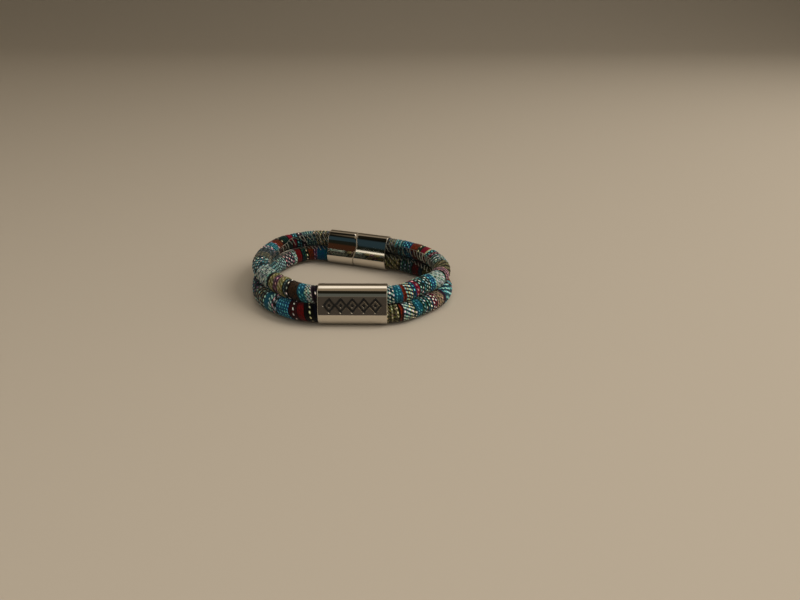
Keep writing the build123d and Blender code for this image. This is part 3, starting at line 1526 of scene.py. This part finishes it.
@dataclass
class ClaspHalf:
    """Half of the clasp: a polished shell with a blind pocket and a wavy end."""

    side: Side
    length: float
    frame: ClaspFrame = field(default_factory=ClaspFrame)
    wall: float = 0.5 * MM
    pocket_depth: float = 8.0 * MM
    wave: float = 0.72 * MM
    wave_margin: float = 1.0 * MM
    gap: float = 0.12 * MM
    crown: float = 0.22 * MM
    crown_reach: float = 1.6
    wave_phase: float = 0.85
    seam_shift: float = -0.35 * MM
    seam_edge: float = 0.2 * MM
    mouth_edge: float = 0.24 * MM
    stations: tuple[float, ...] = (0.08, 0.2, 0.4, 0.7)
    flat_steps: int = 12

    def seam(self, up: float) -> float:
        """How far from the clasp's middle the wavy end is.

        Args:
            up: The height over that middle.

        Returns:
            The distance along the half's axis.
        """
        frame = self.frame
        start = frame.thickness / 2 * math.tan(frame.kink / 2) + self.gap / 2
        turns = up / (frame.height + self.wave_margin)
        wave = self.wave * math.sin(2 * math.pi * turns + self.wave_phase)
        return start + self.side.value * (wave + self.seam_shift)

    def bulged(self, across: float, up: float) -> float:
        """A place across the section, moved out by the crown of the flat faces.

        Args:
            across: The place on the flat section.
            up: The height over the clasp's middle.

        Returns:
            The place on the crowned one.
        """
        half_flat = (self.frame.height - self.frame.thickness) / 2
        bulge = max(0.0, 1 - (up / (half_flat * self.crown_reach)) ** 2) * self.crown
        return across + math.copysign(bulge, across) * (abs(across) / self.frame.thickness * 2)

    def shell(self) -> bpy.types.Mesh:
        """The half as one closed skin.

        Returns:
            The mesh.
        """
        axis = self.frame.axis(self.side)
        upward = self.frame.up()
        sideways = upward.cross(axis)
        centre = self.frame.centre()
        slot = Slot(self.frame.height, self.frame.thickness, flat_steps=self.flat_steps)
        skin = RingMesh()
        starts = []

        def add_ring(distance: Callable[[float], float], inset: float) -> None:
            """Adds a ring round the half.

            Args:
                distance: Gives the distance along the axis at a height.
                inset: How far inside the outer surface.
            """
            ring = []
            for across, up in slot.ring(inset):
                place = axis * distance(up) + sideways * self.bulged(across, up)
                ring.append(centre + place + upward * up)
            starts.append(skin.ring(ring))

        for back, inset in rounding(self.seam_edge)[::-1]:
            add_ring(lambda up, back=back: self.seam(up) + back, inset)
        for share in self.stations:
            add_ring(
                lambda up, share=share: self.seam(up) * (1 - share) + self.length * share, 0.0
            )
        for back, inset in rounding(self.mouth_edge):
            add_ring(lambda up, back=back: self.length - back, inset)
        for back, inset in rounding(self.mouth_edge)[::-1]:
            add_ring(lambda up, back=back: self.length - back, self.wall - inset)
        add_ring(lambda up: self.length - self.pocket_depth, self.wall)
        for first, second in zip(starts, starts[1:]):
            skin.bridge(first, second)
        top = slot.arc_steps // 2
        skin.cap(starts[0], top, flipped=False)
        skin.cap(starts[-1], top, flipped=True)
        return mesh_from("clasp_half", skin.points, skin.faces)

    def build(self, metal: bpy.types.Material) -> bpy.types.Object:
        """Makes the half and hangs it on the frame.

        Args:
            metal: The half's material.

        Returns:
            The piece.
        """
        node = f"clasp_half_{self.side.name.lower()}"
        piece = add_piece(node + "_polished", self.shell())
        piece.data.materials.append(metal)
        outward(piece.data)
        finish_metal(piece)
        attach(piece, "root")
        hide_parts(node)
        return piece


# The colours of the room's parts, from the horizon at 0 to straight overhead at 1.
FRONT: tuple[Stop, ...] = (
    (0.000, (0.060, 0.049, 0.040)),
    (0.146, (0.060, 0.049, 0.038)),
    (0.156, (0.140, 0.125, 0.100)),
    (0.190, (0.140, 0.132, 0.110)),
    (0.240, (0.105, 0.112, 0.098)),
    (0.560, (0.105, 0.112, 0.098)),
    (0.600, (0.014, 0.012, 0.007)),
    (0.890, (0.018, 0.016, 0.010)),
    (0.915, (0.290, 0.232, 0.160)),
    (1.000, (0.290, 0.232, 0.160)),
)
LEFT: tuple[Stop, ...] = (
    (0.000, (0.060, 0.050, 0.035)),
    (0.050, (0.005, 0.006, 0.003)),
    (0.108, (0.005, 0.006, 0.003)),
    (0.120, (0.042, 0.017, 0.009)),
    (0.215, (0.050, 0.020, 0.009)),
    (0.235, (0.011, 0.012, 0.008)),
    (0.285, (0.011, 0.014, 0.011)),
    (0.310, (0.022, 0.042, 0.053)),
    (0.740, (0.022, 0.042, 0.053)),
    (0.860, (0.006, 0.006, 0.004)),
    (1.000, (0.006, 0.006, 0.004)),
)
WINDOW: tuple[Stop, ...] = (
    (0.000, (0.060, 0.050, 0.035)),
    (0.030, (0.006, 0.006, 0.003)),
    (0.086, (0.012, 0.013, 0.008)),
    (0.096, (0.160, 0.142, 0.074)),
    (0.124, (0.160, 0.142, 0.074)),
    (0.131, (1.350, 1.250, 1.050)),
    (0.147, (1.350, 1.250, 1.050)),
    (0.154, (0.008, 0.009, 0.005)),
    (0.205, (0.008, 0.010, 0.006)),
    (0.225, (0.022, 0.042, 0.053)),
    (0.780, (0.022, 0.042, 0.053)),
    (0.880, (0.006, 0.006, 0.004)),
    (1.000, (0.006, 0.006, 0.004)),
)
BEHIND: tuple[Stop, ...] = (
    (0.00, (0.290, 0.238, 0.176)),
    (0.83, (0.290, 0.238, 0.176)),
    (0.87, (0.010, 0.009, 0.006)),
    (1.00, (0.010, 0.009, 0.006)),
)
SKYLIGHT: tuple[Stop, ...] = (
    (0.00, (0.350, 0.290, 0.215)),
    (0.80, (0.290, 0.238, 0.176)),
    (0.83, (1.250, 1.140, 0.980)),
    (0.98, (1.250, 1.140, 0.980)),
    (1.00, (0.290, 0.232, 0.160)),
)


@dataclass(frozen=True)
class Lamp:
    """A large soft light that points at the bracelet and doesn't mirror in the metal."""

    name: str
    place: Point
    width: float
    power: float
    tint: Colour = (1.0, 0.97, 0.93)
    aim: Point = (0.0, 0.0, 0.005)

    def hang(self) -> None:
        """Puts the light into the scene."""
        data = bpy.data.lights.new(self.name, "AREA")
        data.shape = "SQUARE"
        data.size = self.width
        data.energy = self.power
        data.color = self.tint
        lamp = bpy.data.objects.new(self.name, data)
        lamp.location = self.place
        way = Vector(self.aim) - Vector(self.place)
        lamp.rotation_euler = way.to_track_quat("-Z", "Y").to_euler()
        lamp.visible_glossy = False
        bpy.context.scene.collection.objects.link(lamp)


@dataclass(frozen=True)
class Room:
    """The dim room that the metal mirrors.

    An edge is where one part of the room gives way to the next, as a range of the direction's X,
    or of its Y for the back edge.
    """

    left_edge: tuple[float, float] = (-0.25, -0.40)
    window_edge: tuple[float, float] = (-0.635, -0.665)
    skylight_edge: tuple[float, float] = (-0.17, -0.14)
    back_edge: tuple[float, float] = (-0.05, 0.05)
    side_edge: tuple[float, float] = (0.84, 0.88)
    side_tint: Colour = (0.90, 0.80, 0.66)

    def build(self) -> None:
        """Paints the room on the world: dark in front, warm and pale behind, with two windows."""
        world = bpy.data.worlds.new("room")
        world.use_nodes = True
        tree = NodeCanvas(world.node_tree)
        tree.tree.nodes.clear()
        way = tree.read(tree.add("ShaderNodeTexCoord"), "Generated")
        across, depth, rise = tree.split(way)
        front, left, window, behind, skylight = (
            self.ramp(tree, rise, stops) for stops in (FRONT, LEFT, WINDOW, BEHIND, SKYLIGHT)
        )
        ahead = tree.mix("RGBA", tree.step(across, *self.left_edge), front, left)
        ahead = tree.mix("RGBA", tree.step(across, *self.window_edge), ahead, window)
        back = tree.mix("RGBA", tree.step(across, *self.skylight_edge), behind, skylight)
        colour = tree.mix("RGBA", tree.step(depth, *self.back_edge), ahead, back)
        beside = tree.step(tree.math("ABSOLUTE", across), *self.side_edge)
        colour = tree.mix("RGBA", beside, colour, (*self.side_tint, 1))
        background = tree.add("ShaderNodeBackground", Color=colour, Strength=1.0)
        output = tree.add("ShaderNodeOutputWorld")
        tree.tree.links.new(background.outputs[0], output.inputs["Surface"])
        bpy.context.scene.world = world

    @staticmethod
    def ramp(tree: NodeCanvas, value: Field, stops: Sequence[Stop]) -> Field:
        """A colour that changes with a value.

        Args:
            tree: The room's tree.
            value: The value, 0 to 1.
            stops: The colours at some of its places.

        Returns:
            The colour.
        """
        node = tree.add("ShaderNodeValToRGB", Fac=value)
        steps = node.color_ramp.elements
        while len(steps) < len(stops):
            steps.new(0.5)
        for step, (place, colour) in zip(steps, stops):
            step.position = place
            step.color = (*colour, 1)
        return tree.read(node, "Color")


@dataclass
class Studio:
    """The floor, the lights, the room and the camera."""

    floor_front: float = -1.2
    floor_back: float = 1.0
    floor_half_width: float = 1.8
    floor_tint: Colour = (0.465, 0.402, 0.318)
    floor_roughness: float = 0.85
    sweep_radius: float = 0.7
    sweep_height: float = 1.6
    sweep_steps: int = 16
    camera_place: Point = (0.0194, -0.2007, 0.0981)
    camera_pitch: float = math.radians(27.16)
    camera_turn: float = math.radians(0.5)
    camera_lens: float = 27.0
    camera_nearest: float = 0.005
    lamps: tuple[Lamp, ...] = (
        Lamp("key_light", place=(0.75, -0.04, 0.68), width=0.55, power=6.6),
        Lamp("front_fill", place=(0.02, -0.30, 0.40), width=0.50, power=0.85),
    )

    def floor(self) -> None:
        """Lays the plain pale floor, which sweeps up into a backdrop."""
        profile = [(self.floor_front, 0.0), (self.floor_back, 0.0)]
        for step in range(1, self.sweep_steps + 1):
            angle = math.pi / 2 * step / self.sweep_steps
            run = self.floor_back + self.sweep_radius * math.sin(angle)
            profile.append((run, self.sweep_radius * (1 - math.cos(angle))))
        profile.append((self.floor_back + self.sweep_radius, self.sweep_height))
        half = self.floor_half_width
        points = [Vector((side * half, y, z)) for y, z in profile for side in (-1, 1)]
        starts = range(0, 2 * len(profile) - 2, 2)
        faces = [[start, start + 1, start + 3, start + 2] for start in starts]
        floor = add_piece("floor", mesh_from("floor", points, faces))
        tree = SurfaceTree("pale_floor")
        tree.principled(Base_Color=(*self.floor_tint, 1), Roughness=self.floor_roughness)
        floor.data.materials.append(tree.material)

    def camera(self) -> None:
        """Sets the camera at the photograph's viewing angle."""
        data = bpy.data.cameras.new("camera")
        data.lens = self.camera_lens
        data.clip_start = self.camera_nearest
        camera = bpy.data.objects.new("camera", data)
        camera.location = self.camera_place
        camera.rotation_euler = (math.pi / 2 - self.camera_pitch, 0, self.camera_turn)
        bpy.context.scene.collection.objects.link(camera)
        bpy.context.scene.camera = camera

    def build(self) -> None:
        """Sets up everything round the bracelet."""
        self.floor()
        Room().build()
        for lamp in self.lamps:
            lamp.hang()
        self.camera()
        bpy.context.scene.view_settings.view_transform = "Standard"


# Routes and charts run from the clasp's left half round the left side, through the slider and
# round the right side to the clasp's right half.
UPPER_ROUTE: tuple[Point, ...] = (
    (-0.00288, 0.02416, 0.00946),
    (-0.01456, 0.02732, 0.00965),
    (-0.02208, 0.02622, 0.00905),
    (-0.02870, 0.02295, 0.00888),
    (-0.03213, 0.01669, 0.00888),
    (-0.03404, 0.00924, 0.00901),
    (-0.03367, -0.00089, 0.00906),
    (-0.02907, -0.00954, 0.00888),
    (-0.02171, -0.01728, 0.00888),
    (-0.01261, -0.02428, 0.00947),
    (-0.00261, -0.02428, 0.00947),
    (0.00779, -0.02428, 0.00947),
    (0.01779, -0.02428, 0.00947),
    (0.02466, -0.01699, 0.00937),
    (0.03091, -0.01132, 0.00906),
    (0.03312, -0.00417, 0.00901),
    (0.03202, 0.00328, 0.00906),
    (0.02760, 0.01073, 0.00919),
    (0.02098, 0.01520, 0.00937),
    (0.01665, 0.01708, 0.00965),
    (0.00612, 0.02116, 0.00947),
)
LOWER_ROUTE: tuple[Point, ...] = (
    (-0.00343, 0.02249, 0.00370),
    (-0.01357, 0.02523, 0.00387),
    (-0.01950, 0.02554, 0.00378),
    (-0.02576, 0.02101, 0.00364),
    (-0.03091, 0.01371, 0.00322),
    (-0.03386, 0.00507, 0.00322),
    (-0.03312, -0.00477, 0.00322),
    (-0.02981, -0.01401, 0.00322),
    (-0.02318, -0.02086, 0.00354),
    (-0.01451, -0.02609, 0.00373),
    (-0.00451, -0.02609, 0.00373),
    (0.00819, -0.02609, 0.00373),
    (0.01819, -0.02609, 0.00373),
    (0.02576, -0.01997, 0.00350),
    (0.03183, -0.01341, 0.00322),
    (0.03386, -0.00626, 0.00322),
    (0.03257, 0.00119, 0.00322),
    (0.02834, 0.00775, 0.00322),
    (0.02245, 0.01311, 0.00328),
    (0.01685, 0.01512, 0.00391),
    (0.00557, 0.01949, 0.00371),
)

UPPER_CHART: tuple[Stripe, ...] = (
    Stripe(8.6, (Dye.BLACK, Dye.OLIVE), (Dye.KHAKI, Dye.GREY), Weave.CHECKER),
    Stripe(6.4, (Dye.BLACK, Dye.OLIVE), (Dye.GREY, Dye.KHAKI, Dye.CREAM), Weave.CHECKER),
    Stripe(4.2, (Dye.MINT, Dye.TEAL), (Dye.BLACK,), Weave.CHECKER, contrast=0.8),
    Stripe(2.3, (Dye.PLUM,), (Dye.WHITE, Dye.PINK), Weave.DASHES),
    Stripe(2.6, (Dye.DEEP_TEAL, Dye.SLATE), (Dye.TURQUOISE,), Weave.FLECKS),
    Stripe(1.7, (Dye.CRIMSON,), contrast=0.3),
    Stripe(3.2, (Dye.BLACK, Dye.GREEN), (Dye.DEEP_TEAL,), Weave.FLECKS),
    Stripe(1.6, (Dye.BLACK,), (Dye.CREAM,), Weave.DASHES),
    Stripe(2.7, (Dye.RUST, Dye.BROWN), contrast=0.5),
    Stripe(1.2, (Dye.RUST,), (Dye.PINK,), Weave.DASHES),
    Stripe(2.6, (Dye.TURQUOISE, Dye.TEAL), (Dye.DEEP_TEAL,), Weave.FLECKS),
    Stripe(3.3, (Dye.TEAL, Dye.SLATE), (Dye.WHITE, Dye.PINK), Weave.FLECKS),
    Stripe(3.3, (Dye.GREY, Dye.SLATE), (Dye.BLACK,), Weave.CHECKER, contrast=0.8),
    Stripe(4.9, (Dye.KHAKI, Dye.SLATE), (Dye.BLACK,), Weave.FLECKS),
    Stripe(9.1, (Dye.DEEP_TEAL, Dye.BLACK), (Dye.MINT, Dye.WHITE, Dye.TURQUOISE), Weave.FLECKS),
    Stripe(7.6, (Dye.MINT, Dye.WHITE), (Dye.BLACK, Dye.SLATE), Weave.ZIGZAG,
           contrast=0.95, swell_mm=0.2),
    Stripe(1.3, (Dye.BLACK,), contrast=0.3),
    Stripe(2.3, (Dye.GOLD, Dye.OLIVE), (Dye.KHAKI,), Weave.SLANTS, contrast=0.7, swell_mm=0.3),
    Stripe(2.0, (Dye.MAUVE, Dye.WINE), (Dye.PINK, Dye.CREAM), Weave.DASHES,
           contrast=0.7, swell_mm=0.05),
    Stripe(2.8, (Dye.GOLD, Dye.OLIVE), (Dye.KHAKI,), Weave.SLANTS, contrast=0.7, swell_mm=0.3),
    Stripe(1.5, (Dye.SLATE, Dye.MINT), (Dye.BLACK,), Weave.CHECKER),
    Stripe(1.5, (Dye.BLACK,), (Dye.CREAM, Dye.WHITE), Weave.DASHES, swell_mm=0.1),
    Stripe(3.5, (Dye.BROWN,), (Dye.BLACK,), Weave.FLECKS, contrast=0.6),
    Stripe(2.2, (Dye.TEAL,), (Dye.TURQUOISE,), Weave.FLECKS, contrast=0.5),
    Stripe(2.1, (Dye.MINT, Dye.WHITE), (Dye.BLACK,), Weave.CHECKER, contrast=0.6),
    Stripe(2.7, (Dye.PLUM, Dye.BLACK), (Dye.WHITE, Dye.PINK), Weave.DASHES),
    Stripe(9.5, (Dye.NAVY, Dye.BLACK)),
    Stripe(9.5, (Dye.TEAL, Dye.DEEP_TEAL)),
    Stripe(2.4, (Dye.SLATE, Dye.DEEP_TEAL), (Dye.GREY,), Weave.SLANTS),
    Stripe(2.0, (Dye.DEEP_TEAL, Dye.TEAL), (Dye.MINT, Dye.WHITE), Weave.SLANTS),
    Stripe(2.2, (Dye.TEAL,), (Dye.TURQUOISE,), Weave.ROWS, contrast=0.4),
    Stripe(1.2, (Dye.RUST,), (Dye.WINE,), Weave.FLECKS, contrast=0.6),
    Stripe(2.0, (Dye.DEEP_TEAL, Dye.BLACK), (Dye.MINT, Dye.CREAM), Weave.SLANTS),
    Stripe(1.5, (Dye.BLUE, Dye.GREEN), (Dye.TURQUOISE, Dye.MINT), Weave.FLECKS),
    Stripe(1.4, (Dye.CRIMSON,), (Dye.WHITE, Dye.PINK), Weave.DASHES),
    Stripe(5.8, (Dye.DEEP_TEAL, Dye.BLACK, Dye.GREEN), (Dye.MINT, Dye.WHITE, Dye.TURQUOISE),
           Weave.FLECKS),
    Stripe(2.2, (Dye.BLUE, Dye.TEAL), (Dye.TURQUOISE,), Weave.ROWS, contrast=0.6),
    Stripe(4.3, (Dye.MINT, Dye.WHITE), (Dye.BLACK,), Weave.DOTS, contrast=0.8),
    Stripe(1.0, (Dye.BLACK,), contrast=0.3),
    Stripe(2.5, (Dye.PINK, Dye.MAUVE), (Dye.PLUM,), Weave.FLECKS),
    Stripe(6.0, (Dye.KHAKI, Dye.OLIVE), (Dye.BLACK,), Weave.DIAGONAL),
    Stripe(5.5, (Dye.SLATE, Dye.MINT, Dye.GREEN), (Dye.BLACK, Dye.WHITE), Weave.FLECKS),
    Stripe(0.6, (Dye.BLACK,), contrast=0.3),
    Stripe(2.0, (Dye.PLUM, Dye.CRIMSON), (Dye.PINK,), Weave.FLECKS),
    Stripe(2.0, (Dye.DEEP_TEAL, Dye.GREEN), (Dye.TURQUOISE,), Weave.FLECKS),
    Stripe(0.7, (Dye.CREAM,), contrast=0.5),
    Stripe(2.8, (Dye.CRIMSON,), contrast=0.3),
    Stripe(2.0, (Dye.BLACK, Dye.GREEN), (Dye.CREAM,), Weave.DASHES),
    Stripe(3.5, (Dye.RUST,), (Dye.BROWN,), Weave.FLECKS, contrast=0.6),
    Stripe(3.4, (Dye.BLUE, Dye.TEAL), (Dye.TURQUOISE,), Weave.FLECKS),
    Stripe(3.6, (Dye.TURQUOISE, Dye.SLATE, Dye.MINT), (Dye.DEEP_TEAL,), Weave.FLECKS),
    Stripe(3.0, (Dye.KHAKI, Dye.GREY), (Dye.BLACK,), Weave.FLECKS),
    Stripe(7.8, (Dye.BROWN, Dye.GREY), (Dye.BLACK,), Weave.CHECKER),
)
LOWER_CHART: tuple[Stripe, ...] = (
    Stripe(8.8, (Dye.TEAL,)),
    Stripe(3.7, (Dye.TEAL, Dye.BLUE), (Dye.DEEP_TEAL,), Weave.FLECKS, contrast=0.6),
    Stripe(2.2, (Dye.MAUVE, Dye.PLUM), (Dye.PINK,), Weave.DASHES),
    Stripe(2.6, (Dye.RUST, Dye.BROWN), contrast=0.5),
    Stripe(1.4, (Dye.BLACK,), (Dye.CREAM,), Weave.DASHES),
    Stripe(2.4, (Dye.BLACK, Dye.DEEP_TEAL), (Dye.GREEN,), Weave.FLECKS),
    Stripe(2.5, (Dye.RED,), contrast=0.3),
    Stripe(1.6, (Dye.MINT, Dye.GREEN), (Dye.WHITE,), Weave.FLECKS),
    Stripe(5.1, (Dye.PLUM, Dye.SLATE), (Dye.PINK, Dye.WHITE), Weave.DOTS),
    Stripe(4.9, (Dye.DEEP_TEAL, Dye.GREY), (Dye.MINT,), Weave.FLECKS),
    Stripe(6.4, (Dye.SLATE, Dye.MINT), (Dye.TEAL, Dye.BLACK), Weave.CHECKER, contrast=0.8),
    Stripe(6.5, (Dye.TEAL,), (Dye.TURQUOISE,), Weave.FLECKS),
    Stripe(10.3, (Dye.BLACK, Dye.DEEP_TEAL), (Dye.MAUVE, Dye.MINT, Dye.TEAL), Weave.FLECKS),
    Stripe(7.55, (Dye.SLATE, Dye.KHAKI, Dye.BLACK), (Dye.BLACK, Dye.MINT),
           Weave.FLECKS, swell_mm=0.15),
    Stripe(2.2, (Dye.TEAL,), contrast=0.5, swell_mm=0.15),
    Stripe(1.4, (Dye.TEAL, Dye.DEEP_TEAL), (Dye.MINT,), Weave.SLANTS, swell_mm=0.15),
    Stripe(2.9, (Dye.BLACK,), (Dye.GREY, Dye.GREY, Dye.PINK), Weave.ZIGZAG, swell_mm=0.15),
    Stripe(5.0, (Dye.TEAL, Dye.BLUE), (Dye.TURQUOISE,), Weave.ROWS, contrast=0.6, swell_mm=0.1),
    Stripe(2.7, (Dye.WINE,), (Dye.WHITE,), Weave.DASHES),
    Stripe(1.9, (Dye.RED,), contrast=0.3),
    Stripe(3.0, (Dye.BLACK,), (Dye.CREAM,), Weave.DASHES),
    Stripe(2.5, (Dye.NAVY,), contrast=0.3),
    Stripe(10.2, (Dye.NAVY, Dye.BLACK)),
    Stripe(10.3, (Dye.TEAL, Dye.DEEP_TEAL)),
    Stripe(4.1, (Dye.KHAKI, Dye.OLIVE), (Dye.BLACK, Dye.CREAM, Dye.BLACK), Weave.SLANTS),
    Stripe(0.8, (Dye.BLACK,), contrast=0.3),
    Stripe(0.8, (Dye.RUST, Dye.WINE), contrast=0.5),
    Stripe(1.9, (Dye.TEAL, Dye.DEEP_TEAL), (Dye.WHITE, Dye.MINT), Weave.SLANTS),
    Stripe(2.2, (Dye.GREEN, Dye.DEEP_TEAL), (Dye.CREAM, Dye.WHITE), Weave.SLANTS),
    Stripe(2.3, (Dye.TEAL,), (Dye.TURQUOISE,), Weave.ROWS, contrast=0.6),
    Stripe(4.7, (Dye.GREEN, Dye.BLACK, Dye.TEAL), (Dye.MINT, Dye.WHITE), Weave.FLECKS),
    Stripe(2.3, (Dye.PLUM, Dye.CRIMSON), (Dye.WHITE,), Weave.FLECKS),
    Stripe(3.2, (Dye.PEACH, Dye.KHAKI), (Dye.BLACK,), Weave.FLECKS),
    Stripe(1.5, (Dye.PLUM,), contrast=0.5),
    Stripe(5.7, (Dye.TEAL, Dye.SLATE), (Dye.TURQUOISE, Dye.MINT), Weave.DIAGONAL),
    Stripe(1.5, (Dye.BLACK,), (Dye.PINK,), Weave.DASHES),
    Stripe(1.5, (Dye.TURQUOISE,), contrast=0.5),
    Stripe(3.0, (Dye.RUST,), (Dye.BROWN,), Weave.FLECKS, contrast=0.6),
    Stripe(5.5, (Dye.MINT, Dye.GREY), (Dye.SLATE,), Weave.CHECKER),
    Stripe(5.5, (Dye.OLIVE,), (Dye.BLACK,), Weave.CHECKER),
    Stripe(2.2, (Dye.NAVY, Dye.DEEP_TEAL)),
    Stripe(3.5, (Dye.WINE,), (Dye.RED,), Weave.FLECKS, contrast=0.5),
    Stripe(6.8, (Dye.BLACK, Dye.GREEN, Dye.SLATE), (Dye.SLATE, Dye.GREY),
           Weave.FLECKS, contrast=0.8),
    Stripe(6.8, (Dye.OLIVE, Dye.KHAKI), (Dye.BLACK,), Weave.DIAGONAL),
    Stripe(6.65, (Dye.OLIVE,), (Dye.BLACK,), Weave.CHECKER),
)
UPPER_SEAM: tuple[tuple[float, float], ...] = (
    (0.0, 0.25),
    (0.07, 0.25),
    (0.135, 0.20),
    (0.175, 0.035),
    (0.3, 0.055),
    (0.7, 0.065),
    (0.85, 0.115),
    (1.0, 0.115),
)
LOWER_SEAM: tuple[tuple[float, float], ...] = (
    (0.0, 0.37),
    (0.09, 0.40),
    (0.133, 0.46),
    (0.2, 0.40),
    (0.35, 0.30),
    (0.8, 0.34),
    (1.0, 0.38),
)
CLOTH_LEAN: tuple[tuple[float, float], ...] = (
    (0.0, 0.0),
    (0.2, 0.5),
    (0.35, 0.8),
    (0.5, 0.8),
    (0.62, 0.2),
    (1.0, 0.0),
)


def report(pieces: Sequence[bpy.types.Object]) -> None:
    """Says how many faces each piece has."""
    for piece in pieces:
        LOG.info("%s has %d faces", piece.name, len(piece.data.polygons))


def main() -> None:
    """Builds the bracelet's pieces in order, and the studio round them."""
    logging.basicConfig(level=logging.INFO, format="%(name)s: %(message)s")
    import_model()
    Studio().build()
    metal = PolishedMetal().build("polished_metal")
    enamel = DarkEnamel().build("dark_enamel")
    cloth = WovenCloth().build("woven_cloth")
    thread = CottonThread().build("cotton_thread")
    upper = ClothCord(
        name="upper_strand",
        node="upper_strand",
        route=UPPER_ROUTE,
        chart=UPPER_CHART,
        seam_turns=UPPER_SEAM,
        leans=CLOTH_LEAN,
        lap_painted_shade=0.55,
        lap_shift=3.0,
        stitch_reach=0.46,
    )
    lower = ClothCord(
        name="lower_strand",
        node="lower_strand",
        route=LOWER_ROUTE,
        chart=LOWER_CHART,
        seam_turns=LOWER_SEAM,
        leans=CLOTH_LEAN,
    )
    report(upper.build(cloth, thread))
    report(lower.build(cloth, thread))
    report([SliderTube().build(metal, enamel)])
    report([ClaspHalf(Side.LEFT, length=12.0 * MM).build(metal)])
    report([ClaspHalf(Side.RIGHT, length=12.9 * MM).build(metal)])


if __name__ == "__main__":
    main()
